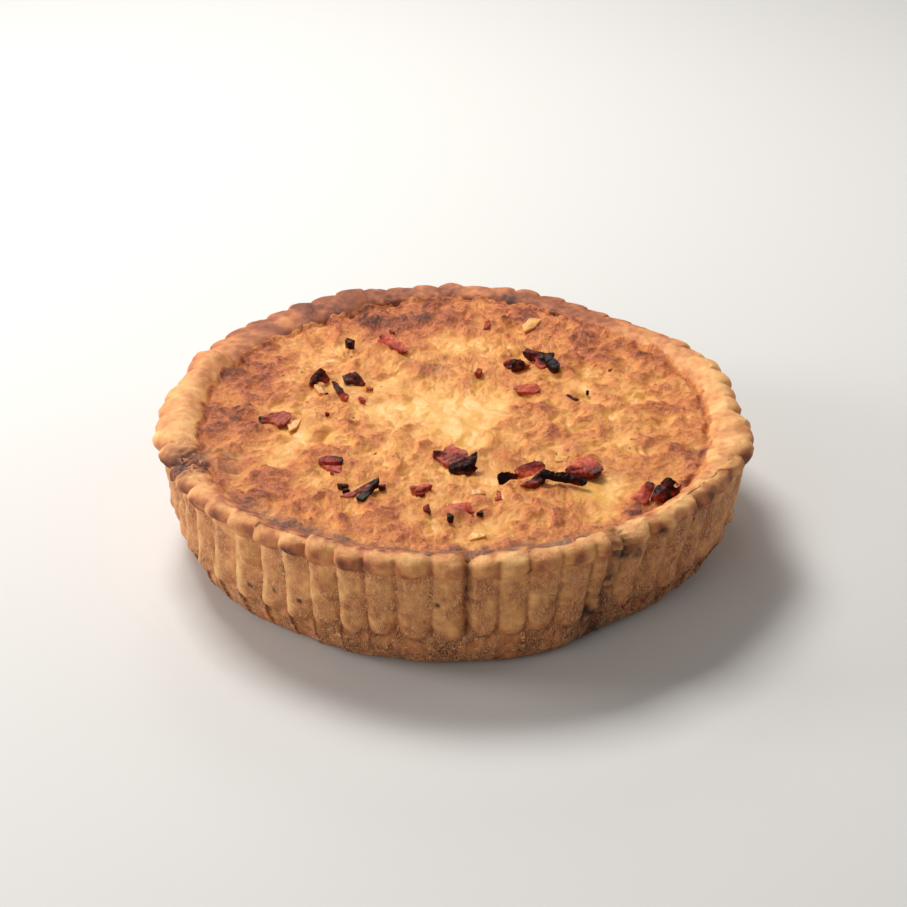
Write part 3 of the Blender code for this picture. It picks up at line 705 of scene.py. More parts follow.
# Browner places that don't stand up: x, y, radius in mm and browning.
SCORCHES = (
    (-10, 70, 16, 0.5), (-30, 68, 10, 0.3), (30, 72, 12, 0.3), (48, 56, 10, 0.25), (50, 43, 8, 0.3),
    (-72, 30, 12, 0.3), (-76, -5, 12, 0.3), (-66, 14, 12, 0.15), (-60, -46, 10, 0.25), (-46, -54, 9, 0.2),
    (72, -30, 12, 0.05), (60, -64, 8, 0.25), (-42, -27, 8, 0.2), (36, 30, 12, 0.1), (40, -12, 12, 0.12),
    (28, -60, 10, 0.12), (-22, -70, 12, 0.12), (76, 5, 8, 0.1),
    (27, 4, 8, 0.2), (-8, 33, 6, 0.3), (-40, 74, 10, 0.2), (72, 36, 10, 0.15),
)
# Places scorched to a dusky mauve brown: x, y, radius in mm and strength.
DUSKY = (
    (5, -90, 7, 0.5), (22, -88, 7, 0.6), (36, -86, 6, 0.6), (-64, -62, 5, 0.5), (-52, -72, 5, 0.6),
    (-44, -78, 5, 0.6), (-78, -12, 10, 0.15), (-72, -40, 6, 0.3), (-80, -32, 6, 0.7), (-72, -30, 5, 0.4),
    (-8, 34, 6, 0.35), (-10, 78, 8, 0.15), (83, -28, 5, 0.35),
)

custard_skin, tree, shader, place = finish("baked_custard_skin")
browned, dusky = (
    add(tree, "ShaderNodeAttribute", attribute_name=name).outputs["Fac"] for name in ("browned", "dusky"))
wrinkle = add(tree, "ShaderNodeTexNoise", {
    "Vector": place, "Scale": 480.0, "Detail": 6.0, "Roughness": 0.65, "Distortion": 0.8})
freckle = add(tree, "ShaderNodeTexNoise", {"Vector": place, "Scale": 1300.0, "Detail": 3.0, "Roughness": 0.6})
centred = add(tree, "ShaderNodeMath", {0: wrinkle, 1: -0.5}, operation="ADD")
freckled = add(tree, "ShaderNodeMath", {0: freckle, 1: -0.5}, operation="ADD")
both = add(tree, "ShaderNodeMath", {0: freckled, 1: 0.7, 2: centred}, operation="MULTIPLY_ADD")
swing = add(tree, "ShaderNodeMapRange", {
    "Value": browned, "From Min": 0.05, "From Max": 0.4, "To Min": 0.1, "To Max": 0.62})
# The skin puckers into fine raised folds about a millimetre apart; their lines are painted paler, a painted
# highlight on each fold.
puckers = add(tree, "ShaderNodeTexNoise", {
    "Vector": place, "Scale": 430.0, "Detail": 2.0, "Roughness": 0.55, "Distortion": 2.4})
off_fold = add(tree, "ShaderNodeMath", {0: puckers, 1: -0.5}, operation="ADD")
fold_line = add(tree, "ShaderNodeMath", {0: off_fold}, operation="ABSOLUTE")
fold = add(tree, "ShaderNodeMapRange", {
    "Value": fold_line, "From Min": 0.0, "From Max": 0.06, "To Min": 1.0, "To Max": 0.0,
}, interpolation_type="SMOOTHSTEP")
folds = add(tree, "ShaderNodeMath", {0: fold, 1: swing}, operation="MULTIPLY")
# Painted highlight: the fold lines are made paler in the skin's tone.
highlit_fold_tone = add(tree, "ShaderNodeMath", {0: folds, 1: -0.2, 2: browned}, operation="MULTIPLY_ADD")
swung = add(tree, "ShaderNodeMath", {0: both, 1: swing, 2: highlit_fold_tone}, operation="MULTIPLY_ADD")
skin = colours(tree, swung, (
    (0.0, "#E9B05D"), (0.15, "#EAA754"), (0.32, "#E6984D"), (0.48, "#DC8445"), (0.62, "#C76F3B"),
    (0.78, "#A35129"), (1.0, "#602E15")))
shadowy = add(tree, "ShaderNodeMix", {0: dusky, 6: skin, 7: linear("#7E5547")}, data_type="RGBA")
wet = add(tree, "ShaderNodeMapRange", {
    "Value": browned, "From Min": 0.1, "From Max": 0.6, "To Min": 0.26, "To Max": 0.36})
flat_skin = add(tree, "ShaderNodeMath", {0: both, 1: swing}, operation="MULTIPLY")
crinkled = add(tree, "ShaderNodeMath", {0: folds, 1: 0.1, 2: flat_skin}, operation="MULTIPLY_ADD")
crinkle = add(tree, "ShaderNodeBump", {"Strength": 1.0, "Distance": 0.0013, "Height": crinkled})
give(tree, shader, {
    "Base Color": shadowy.outputs[2], "Roughness": wet, "IOR": 1.42, "Specular IOR Level": 0.5,
    "Subsurface Weight": 0.18, "Subsurface Radius": (1.0, 0.5, 0.22), "Subsurface Scale": 2.0 * MM,
    "Normal": crinkle})

# A square sheet of cells is pressed into a disc, so they stay about half a millimetre everywhere.
side = np.linspace(-1.0, 1.0, CUSTARD_CELLS + 1)
across_x, across_y = (a.ravel() for a in np.meshgrid(side, side, indexing="ij"))
wide = np.abs(across_x) >= np.abs(across_y)
reach = np.where(wide, across_x, across_y)
other = np.where(wide, across_y, across_x)
turn_share = np.divide(other, reach, out=np.zeros_like(reach), where=reach != 0.0) * np.pi / 4
disc_x = np.where(wide, reach * np.cos(turn_share), reach * np.sin(turn_share))
disc_y = np.where(wide, reach * np.sin(turn_share), reach * np.cos(turn_share))
share = np.hypot(disc_x, disc_y)
disc_angle = np.degrees(np.arctan2(disc_y, disc_x))
edge_line = np.column_stack((*on_circle(90.0, disc_angle), 0 * share))
ragged = 1.0 + 1.7 * lumps(edge_line, 9.0, 44) + 1.1 * lumps(edge_line, 3.4, 45)
climb = np.maximum(0.2, ragged + bells(disc_angle, CLIMBS))
edge_radius = RIM_INNER_RADIUS + inner_lean(disc_angle) + CUSTARD_OVERLAP + climb
from_middle = share * edge_radius
custard_x, custard_y = on_circle(from_middle, disc_angle)


def near(x, y, zones):
    """Sum over zones (x, y, radius, amount) of a bell of that amount."""
    return sum(
        amount * np.exp(-(((x - zx) ** 2 + (y - zy) ** 2) / size**2)) for zx, zy, size, amount in zones)


def custard_height(x, y):
    """Height of the custard before its skin: level in the middle, up at its edge, with its swellings."""
    edge = RIM_INNER_RADIUS + inner_lean(np.degrees(np.arctan2(y, x))) - CLEARANCE
    at_edge = ramp(np.hypot(x, y), edge - CUSTARD_EDGE_WIDTH, edge)
    return CUSTARD_LEVEL + CUSTARD_EDGE_RISE * at_edge + near(x, y, MOUNDS) * (1.0 - at_edge)


flat_place = np.column_stack((custard_x, custard_y, np.zeros(len(custard_x))))
drifted = flat_place + 2.2 * np.column_stack((
    lumps(flat_place, 9.0, 31), lumps(flat_place, 9.0, 32), np.zeros(len(custard_x))))
pooled = np.clip(near(custard_x, custard_y, POOLS), 0.0, 1.0)
pooled = np.clip(pooled + 0.35 * lumps(drifted, 8.0, 33, 2), 0.0, 1.0)
skinned = 1.0 - 0.8 * pooled
hills = lumps(drifted, 7.5, 34, 2)
folded = drifted + 0.9 * np.column_stack((
    lumps(flat_place, 3.0, 37), lumps(flat_place, 3.0, 38), np.zeros(len(custard_x))))
ridges = np.maximum(0.0, 1.0 - np.abs(lumps(folded * (1.0, 1.4, 1.0), 3.8, 35)) * 2.4) ** 2
creases = np.maximum(0.0, 1.0 - np.abs(lumps(folded * (1.0, 1.2, 1.0), 2.0, 36)) * 2.4) ** 2
wrinkles = np.maximum(0.0, 1.0 - np.abs(lumps(folded, 1.25, 40)) * 2.6)
relief = 1.75 * hills + 0.45 * (ridges - 0.4) + 0.35 * (creases - 0.4) + 0.34 * (wrinkles - 0.4)
relief = skinned * relief - 0.7 * pooled
relief += pooled * 0.25 * lumps(drifted, 5.0, 39)
inside = ramp(edge_radius - from_middle, 0.5, 6.0)
custard_z = custard_height(custard_x, custard_y) - 0.2 + relief * (0.25 + 0.75 * inside)
# Near its edge it lies as a film on the pastry, and ends just below the pastry's surface.
pastry = BVHTree.FromPolygons(
    [v.co for v in case_mesh.vertices], [tuple(p.vertices) for p in case_mesh.polygons])
for k in np.nonzero(from_middle > edge_radius - climb - 5.0)[0]:
    hit = pastry.ray_cast(Vector((custard_x[k] * MM, custard_y[k] * MM, 0.07)), Vector((0.0, 0.0, -1.0)))[0]
    if hit is not None:
        to_edge = edge_radius[k] - from_middle[k]
        film = hit.z / MM - 0.15 + 0.45 * min(1.0, to_edge / 1.5)
        kept = min(1.0, max(0.0, (to_edge - 0.6) / 2.4))
        custard_z[k] = kept * max(custard_z[k], film) + (1.0 - kept) * film

skirt = (
    (INNER_FLOOR_RADIUS + 2.0, FLOOR_THICKNESS + 5.0),
    (INNER_FLOOR_RADIUS - CLEARANCE, FLOOR_THICKNESS + CLEARANCE),
)
count = CUSTARD_CELLS + 1
index = np.arange(count * count).reshape(count, count)
quads = np.stack((index[:-1, :-1], index[1:, :-1], index[1:, 1:], index[:-1, 1:]), axis=-1).reshape(-1, 4)
border = np.concatenate((index[:-1, 0], index[-1, :-1], index[:0:-1, -1], index[0, :0:-1]))
verts = [np.column_stack((custard_x, custard_y, custard_z))]
faces = quads.tolist()
upper_ring = border
for ring_radius, ring_height in skirt:
    start = sum(len(v) for v in verts)
    ring = np.arange(start, start + len(border))
    ring_x, ring_y = on_circle(ring_radius, disc_angle[border])
    verts.append(np.column_stack((ring_x, ring_y, np.full(len(border), ring_height))))
    for k in range(len(border)):
        after = (k + 1) % len(border)
        faces.append((int(upper_ring[k]), int(ring[k]), int(ring[after]), int(upper_ring[after])))
    upper_ring = ring
centre = sum(len(v) for v in verts)
verts.append(np.array([(0.0, 0.0, FLOOR_THICKNESS + CLEARANCE)]))
faces += [(int(upper_ring[k]), centre, int(upper_ring[(k + 1) % len(border)])) for k in range(len(border))]
custard_points = np.vstack(verts)
custard_mesh = bpy.data.meshes.new("custard_baked")
custard_mesh.from_pydata((custard_points * MM).tolist(), [], faces)
custard_mesh.polygons.foreach_set("use_smooth", np.ones(len(faces), dtype=bool))
outwards(custard_mesh)
custard = put("custard_baked", custard_mesh)
custard_mesh.materials.append(custard_skin)

speckle = lumps(flat_place, 12.0, 41, 2)
browned_now = 0.34 + 0.16 * speckle + 0.10 * lumps(drifted, 4.2, 42, 2) + 0.24 * hills * skinned
browned_now += (0.14 * (ridges - 0.4) + 0.16 * (creases - 0.4) + 0.20 * (wrinkles - 0.4)) * skinned
browned_now += near(custard_x, custard_y, SCORCHES) + 0.14 * ramp(from_middle, 55.0, 85.0)
browned_now += 0.10 * ramp(from_middle, edge_radius - 6.0, edge_radius - 2.5)
browned_now -= 0.18 * ramp(from_middle, edge_radius - 1.6, edge_radius - 0.4)
browned_now = browned_now * (1.0 - 0.85 * pooled)
below = len(custard_points) - len(custard_x)
mark(custard_mesh, "browned", np.concatenate((np.clip(browned_now, 0.0, 1.0), np.full(below, 0.3))))
scorched_band = ramp(from_middle, edge_radius - 10.0, edge_radius - 4.0)
scorched_band *= ramp(edge_radius - from_middle, 0.0, 0.8)
scorched_band *= np.clip(bell(disc_angle, -120.0, 16.0) + bell(disc_angle, -84.0, 22.0), 0.0, 1.0)
dusky_now = near(custard_x, custard_y, DUSKY) + 0.9 * scorched_band
dusky_now *= 0.7 + 0.9 * lumps(drifted, 4.0, 43, 2)
mark(custard_mesh, "dusky", np.concatenate((np.clip(dusky_now, 0.0, 0.8), np.zeros(below))))
point_index, face_index = corners_of(custard_mesh)
on_plan = custard_points[point_index, :2]
hidden = face_index >= len(quads)
map_uv = np.where(hidden[:, None], 0.97 + 0.02 * on_plan / 100.0, 0.475 + 0.47 * on_plan / 100.0)
bake_map(custard_mesh, map_uv)
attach(custard, "root")
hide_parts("custard")

# Lardons: strips and cubes of smoked bacon, fried and baked on top. Lean is red to mauve, with paler
# streaks of fat, and the corners that stood out of the custard are charred black and glossy.
# Each cut is one or more slabs: thickness, share of fat, then the corners of its upper face: x, y and
# height above the custard in mm, and how charred it is there, from 0, salmon, to 1, black.
LARDONS = {
    "lardon_centre": (
        (2.6, 0.75, (
            (-6, -30.5, 3.2, 0.95), (-6.5, -32, 1.6, 0.9), (-4.5, -32.8, 1.2, 0.5), (-2.5, -36, 0.9, 0.45),
            (-0.5, -37.8, 1.4, 0.5), (3, -36.6, 2.2, 0.6), (6, -34.8, 3.2, 0.6), (5.2, -31.4, 3.4, 0.3),
            (3.2, -29.6, 3.2, 0.3), (1.6, -28.4, 3.2, 0.3), (0.2, -25.8, 2.8, 0.4), (-1.6, -27.6, 2.7, 0.4),
            (-3.2, -29.6, 2, 0.5),
        )),
        (2.4, 0, (
            (-1.2, -38.4, 2.2, 0.8), (1, -38, 2.9, 0.8), (3.5, -37.8, 3.7, 0.8), (6, -36.6, 4.6, 0.8),
            (8.6, -35.6, 5.6, 0.9), (9, -37.4, 4.8, 1), (7.2, -39.6, 3.2, 1), (4.4, -40.4, 2.2, 1),
            (1, -40.4, 1.7, 1), (-1, -39.8, 1.3, 0.95),
        )),
        (1.4, 0, (
            (-1, -39.6, 0.5, 0.7), (3, -41.2, 0.6, 0.7), (6.5, -41.4, 0.8, 0.66), (8.5, -39.4, 1.4, 0.7),
            (7, -37, 1.6, 0.7), (2, -37.6, 1.2, 0.7),
        )),
    ),
    "lardon_left_flat": (
        (2, 0, (
            (-44, -32.4, 1.1, 0.55), (-42.2, -31.7, 1.5, 0.6), (-39.3, -31.6, 1.8, 0.55),
            (-37.3, -32, 1.8, 0.75), (-35.6, -32.4, 1.7, 0.95), (-35.2, -34.4, 1.4, 0.85),
            (-36.5, -35.6, 1.3, 0.5), (-39.5, -35.2, 1.2, 0.42), (-42, -34.8, 0.9, 0.4),
            (-43.8, -33.8, 0.8, 0.5),
        )),
        (1.6, 0.8, (
            (-42.6, -36.2, 0.6, 0.4), (-36, -36.8, 0.9, 0.4), (-35.4, -38.6, 0.6, 0.4),
            (-35.2, -40.8, 0.3, 0.65), (-37, -40.2, 0.4, 0.5), (-39.2, -38.6, 0.5, 0.3),
            (-41, -37.2, 0.4, 0.3),
        )),
    ),
    "lardon_left_strip": (
        (1.6, 0.85, (
            (-35.6, -56, 0.5, 0.25), (-32.6, -54.6, 1, 0.35), (-30.1, -53.2, 1.6, 0.45),
            (-28, -52, 2.2, 0.6), (-26.6, -52.6, 2, 0.75), (-28.4, -54.2, 1.2, 0.6),
            (-30.2, -55.6, 0.7, 0.5), (-32.8, -56.8, 0.3, 0.35),
        )),
        (2.4, 0, (
            (-30.2, -53.6, 1.7, 0.85), (-27.8, -51.8, 2.6, 0.85), (-25.4, -50.4, 3.2, 0.9),
            (-23.2, -48.6, 3.6, 0.9), (-22.8, -50.4, 3, 0.8), (-24.8, -52.6, 2.2, 0.95),
            (-25.6, -54.4, 1.6, 1), (-28, -54.8, 1.1, 0.95),
        )),
    ),
    "lardon_long_strip": (
        (2, 0, (
            (28.4, -47.2, 4.2, 1), (29.6, -46.2, 4.8, 1), (32, -47.2, 4.7, 0.95), (35.8, -47.4, 4.4, 0.9),
            (39, -47.2, 4, 0.7), (41.5, -47.6, 3.6, 0.8), (44, -48, 3.1, 1), (43.6, -50.4, 2.2, 1),
            (40.8, -49.8, 2.4, 0.8), (37, -49.4, 2.8, 0.95), (32.5, -48.8, 3.2, 1), (29.4, -48.4, 3.4, 1),
        )),
    ),
    "lardon_red_strip": (
        (2.2, 0, (
            (28.4, -47, 3.4, 1), (30.8, -48, 2.6, 0.95), (29.8, -49.4, 1.5, 0.8), (27.4, -50, 0.9, 0.6),
            (24.2, -49.8, 0.5, 0.45), (21.8, -49.2, 0.3, 0.35), (24.8, -47.8, 1.3, 0.6),
            (26.8, -47, 2.4, 0.9),
        )),
    ),
    "lardon_red_slab": (
        (2.4, 0.1, (
            (20.2, -41, 1.4, 0.3), (22.6, -39.4, 2.4, 0.55), (25.2, -39, 3.2, 0.65), (27.2, -38.8, 4, 0.65),
            (29.2, -39.2, 4, 0.6), (30.8, -40.6, 3.4, 0.55), (30.4, -41.8, 2.2, 0.4),
            (28.6, -42.8, 1.2, 0.25), (27.2, -43.4, 0.6, 0.15), (24.4, -43, 0.4, 0.15),
            (21.4, -42.2, 0.8, 0.2),
        )),
    ),
    "lardon_char_hook": (
        (1.8, 0, (
            (14.8, -45.4, 2.6, 1), (16.2, -44.6, 3.1, 1), (18.5, -44.2, 3, 0.95), (20.6, -43.6, 2.3, 0.75),
            (22.2, -43.4, 1, 0.55), (19.6, -45, 1.6, 0.85), (17.9, -45.8, 0.9, 0.95), (16.8, -47, 0.4, 1),
            (15, -47, 1, 1),
        )),
    ),
    "lardon_salmon_slab": (
        (2.4, 0.25, (
            (36.8, -41.8, 2.2, 0.55), (39.6, -37.7, 2.4, 0.15), (41.7, -34.8, 2.6, 0.15),
            (44.3, -34.2, 2.8, 0.2), (47, -36.6, 3, 0.2), (48.8, -40.4, 3.1, 0.45), (49.6, -43, 3, 0.75),
            (47.4, -44.4, 2.1, 0.85), (45.1, -43.8, 1.6, 0.6), (42.9, -43.2, 1.6, 0.45),
            (40, -43.2, 1.5, 0.5), (37.6, -42.8, 1.2, 0.6),
        )),
    ),
    "lardon_right_red": (
        (2.6, 0.3, (
            (62.4, -55.2, 5.6, 0.8), (64.5, -57, 5.2, 0.85), (63.8, -58, 3.4, 0.45),
            (62.8, -59.4, 1.6, 0.3), (62, -60.6, 0.5, 0.2), (60.4, -61.6, 0.3, 0.15), (59, -60, 0.7, 0.4),
            (57.6, -58.6, 1, 0.12), (59, -56.8, 2.2, 0.12), (60.6, -55.8, 4, 0.2),
        )),
    ),
    "lardon_right_char": (
        (3, 0, (
            (64.9, -54.8, 2.8, 1), (66.2, -53.4, 3.2, 0.9), (67.2, -54, 5, 0.75), (68.8, -53.8, 5.8, 0.8),
            (70.4, -55, 5.8, 0.95), (71.8, -55.8, 4.8, 0.9), (73.4, -55, 3.6, 0.6),
            (72.6, -56.4, 2.2, 0.45), (70.9, -57.6, 1.1, 0.6), (68.9, -58.8, 0.8, 0.95),
            (66.4, -58.8, 0.5, 0.55), (64, -59.6, 0.3, 0.35), (63.2, -58, 0.8, 0.45), (64, -56.2, 1.6, 0.8),
        )),
    ),
    "lardon_back_curl": (
        (2.2, 0.4, (
            (18.6, 33.6, 1.7, 0.45), (20.2, 34.8, 2.4, 0.3), (22.4, 35, 3, 0.35), (25, 34.6, 2.8, 0.4),
            (27.2, 34.2, 1.6, 0.3), (29, 34.2, 0.8, 0.25), (27, 33, 0.4, 0.35), (25, 32.2, 0.5, 0.6),
            (22, 31.6, 0.5, 0.65), (19.6, 32.6, 0.8, 0.5),
        )),
        (1.6, 0, (
            (21.2, 33.4, 3, 0.9), (23.4, 34, 3.2, 0.95), (26.2, 33.4, 2.2, 1), (25.6, 32, 1.6, 1),
            (22, 31.8, 2, 0.95),
        )),
    ),
    "lardon_back_hook": (
        (2.2, 0.1, (
            (25.6, 39.6, 3.2, 0.8), (27.6, 42, 3.8, 0.85), (29.8, 40.2, 3.8, 0.75), (32.6, 38.6, 3.8, 0.85),
            (35.1, 37.8, 3.8, 1), (37.6, 38.6, 3.1, 0.9), (37.4, 37.4, 2.8, 0.9), (35, 35.6, 2.8, 1),
            (33, 35.4, 2.4, 1), (30.2, 37.8, 1.8, 0.8), (27.8, 38.2, 1.6, 0.7),
        )),
        (1.4, 0, (
            (30.4, 37.4, 1.6, 0.35), (34.6, 36, 1.8, 0.35), (35.6, 33.6, 0.9, 0.3), (32.6, 32.4, 0.4, 0.2),
            (30.4, 34.4, 0.5, 0.2),
        )),
    ),
    "lardon_back_strip": (
        (2.4, 0, (
            (33, 36.2, 4, 0.95), (35.2, 36.2, 4.3, 1), (37.2, 33.4, 3.9, 1), (39.2, 30.2, 3.2, 0.9),
            (38.8, 28.6, 2.2, 0.95), (36.8, 28.8, 1.8, 0.9), (35.2, 30.4, 2.2, 1), (33.9, 33, 3, 1),
        )),
    ),
    "lardon_left_peak": (
        (1.8, 0.2, (
            (-46, 24.6, 4.9, 0.85), (-44.4, 24, 3, 0.6), (-42.6, 22.8, 0.9, 0.4), (-44.4, 21.4, 0.7, 0.5),
            (-47, 21.8, 1.6, 0.85), (-48, 19.8, 0.6, 0.75), (-50.2, 18.6, 0.3, 0.55),
            (-49.8, 21.2, 1.6, 0.65), (-48.2, 23.8, 3.4, 0.8),
        )),
    ),
    "lardon_left_arch": (
        (1.9, 0.3, (
            (-38.6, 23.2, 2.2, 0.95), (-36.6, 23.4, 3.2, 0.8), (-34.2, 23.2, 4, 0.85),
            (-32.6, 22.2, 3.6, 1), (-31.4, 21, 2.4, 0.75), (-29.8, 20, 1, 0.5), (-31.4, 19, 0.5, 0.55),
            (-33.4, 19.6, 1, 0.9), (-35.2, 20.4, 2, 0.85), (-37, 20.2, 1.6, 0.85), (-38.2, 21.4, 1.6, 1),
        )),
    ),
    "lardon_left_sliver": (
        (2, 0.2, (
            (-42.2, 17.8, 2.8, 0.9), (-40.4, 17.4, 3.2, 0.95), (-38.4, 13.6, 2.8, 0.85),
            (-36.9, 11, 2.3, 0.6), (-35.4, 10.2, 1.3, 0.4), (-36.2, 9, 0.6, 0.3), (-38.2, 9.8, 0.7, 0.4),
            (-40.2, 13.4, 1.4, 0.85),
        )),
    ),
    "lardon_pink_slice": (
        (1.6, 0.15, (
            (-27, 54.4, 2.4, 0.65), (-23.5, 55.4, 2.2, 0.1), (-20, 52, 2.1, 0.1), (-16.2, 46, 1.6, 0.15),
            (-15.8, 42.4, 1.2, 0.3), (-17.3, 41.8, 0.9, 0.6), (-21.4, 46.6, 1.2, 0.5),
            (-25, 51.6, 1.3, 0.5),
        )),
        (1.2, 0, (
            (-27, 53.6, 1.2, 0.3), (-25, 51.8, 1, 0.2), (-24.6, 50.2, 0.3, 0.1), (-27.2, 51.6, 0.3, 0.15),
        )),
    ),
    "lardon_pink_slab": (
        (2, 0.7, (
            (-65.6, -7.3, 2, 0.9), (-63.5, -5.6, 2, 0.5), (-60.8, -4, 2.2, 0.45), (-57.5, -2.6, 2.3, 0.45),
            (-54.6, -4.6, 2.2, 0.35), (-54.2, -6.8, 1.8, 0.35), (-55.9, -8.7, 1.2, 0.4),
            (-56.8, -10.2, 0.6, 0.6), (-58.4, -10.6, 0.5, 0.5), (-60.2, -9, 0.9, 0.2),
            (-62.2, -8.6, 0.7, 0.35), (-64.2, -9.3, 0.6, 0.7), (-65.4, -9.7, 0.8, 0.95),
        )),
    ),
    "lardon_pink_patch": (
        (1.6, 0.5, (
            (21.6, 16.5, 0.6, 0.2), (23.7, 18.6, 0.8, 0.2), (27.3, 20.2, 0.8, 0.25), (30.6, 18.6, 0.9, 0.3),
            (32, 15.4, 0.9, 0.35), (30.2, 13, 0.6, 0.45), (27.1, 13.4, 0.5, 0.35), (23.6, 14.2, 0.4, 0.3),
        )),
    ),
}

bacon, tree, shader, place = finish("baked_bacon")
cooked, fatty = (
    add(tree, "ShaderNodeAttribute", attribute_name=name).outputs["Fac"] for name in ("cooked", "fatty"))
fibre = add(tree, "ShaderNodeTexNoise", {"Vector": place, "Scale": 800.0, "Detail": 4.0, "Roughness": 0.6})
fibre_swing = add(tree, "ShaderNodeMath", {0: fibre, 1: -0.5}, operation="ADD")
seared = add(tree, "ShaderNodeMath", {0: fibre_swing, 1: 0.4, 2: cooked}, operation="MULTIPLY_ADD")
lean = colours(tree, seared, (
    (0.0, "#D67657"), (0.22, "#BD5138"), (0.45, "#8C2A1C"), (0.62, "#5C1912"), (0.8, "#2E100B"),
    (1.0, "#120705")))
marbled = add(tree, "ShaderNodeMix", {0: fatty, 6: lean, 7: linear("#A85B48")}, data_type="RGBA")
grained = add(tree, "ShaderNodeBump", {"Strength": 0.7, "Distance": 0.0005, "Height": fibre})
give(tree, shader, {
    "Base Color": marbled.outputs[2], "Roughness": 0.36, "IOR": 1.45, "Specular IOR Level": 0.12,
    "Subsurface Weight": 0.1, "Subsurface Radius": (1.0, 0.3, 0.2), "Subsurface Scale": 1.0 * MM,
    "Normal": grained})

CUT_GRAIN = 0.24
BOTTOM_SHARE = 0.86


def cut_piece(name, slabs, finish_of, seed, grain=CUT_GRAIN, roughness=1.0):
    """One ragged piece from slabs given by their upper corners, joined, wrinkled and marked as charred."""
    corners, charred, fat, verts, faces = [], [], [], [], []
    for thickness, fat_share, outline in slabs:
        flat_corners = np.array([c[:2] for c in outline], dtype=float)
        rest_height = custard_height(flat_corners[:, 0], flat_corners[:, 1]) + 0.1
        top = np.column_stack((flat_corners, rest_height + [c[2] for c in outline]))
        middle = top.mean(axis=0)
        bottom = middle + (top - middle) * (BOTTOM_SHARE, BOTTOM_SHARE, 1.0) - (0, 0, thickness)
        start, n = len(verts), len(top)
        verts += [*top, *bottom, middle, middle - (0, 0, thickness)]
        for k in range(n):
            after = (k + 1) % n
            faces += [
                (start + k, start + after, start + 2 * n),
                (start + n + after, start + n + k, start + 2 * n + 1),
                (start + k, start + n + k, start + n + after, start + after)]
        corners += [*top, *(bottom + (0, 0, 0.4))]
        charred += [c[3] for c in outline] + [0.8 * c[3] + 0.06 for c in outline]
        fat += [fat_share] * n + [0.3 * fat_share] * n
    mesh = bpy.data.meshes.new(name)
    mesh.from_pydata([tuple(v * MM) for v in verts], [], faces)
    outwards(mesh)
    made = put(name, mesh)
    joined = made.modifiers.new("joined", "REMESH")
    joined.mode, joined.voxel_size, joined.use_smooth_shade = "VOXEL", grain * MM, True
    eased = made.modifiers.new("eased", "SMOOTH")
    eased.factor, eased.iterations = 0.5, 2
    mesh = plain_mesh(made, name)
    outwards(mesh)
    at = points_of(mesh)
    normals = np.empty(3 * len(at))
    mesh.vertices.foreach_get("normal", normals)
    wrinkled = 0.26 * lumps(at, 2.6, seed) + 0.15 * lumps(at, 1.2, seed + 1) + 0.08 * lumps(at, 0.6, seed + 2)
    at += normals.reshape(-1, 3) * (wrinkled * roughness)[:, None]
    set_points(mesh, at)
    mesh.materials.clear()
    mesh.materials.append(finish_of)
    corners, charred, fat = np.array(corners), np.array(charred), np.array(fat)
    weight = 1.0 / (((at[:, None, :] - corners[None]) ** 2).sum(2) + 0.15) ** 2
    weight /= weight.sum(1, keepdims=True)
    burnt = weight @ charred + 0.16 * lumps(at, 1.8, seed + 3, 2)
    burnt -= 0.14 * ramp(-normals.reshape(-1, 3)[:, 2], 0.0, 0.6)
    mark(mesh, "cooked", np.clip(burnt, 0.0, 1.0))
    veins = ramp(lumps(at * (1.0, 1.5, 1.0), 2.2, seed + 4, 2), -0.25, 0.30)
    mark(mesh, "fatty", np.clip((weight @ fat) * veins, 0.0, 1.0))
    return made


for number, (name, slabs) in enumerate(LARDONS.items()):
    piece = cut_piece(name + "_baked", slabs, bacon, seed=100 + 10 * number)
    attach(piece, "root")
    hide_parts(name)

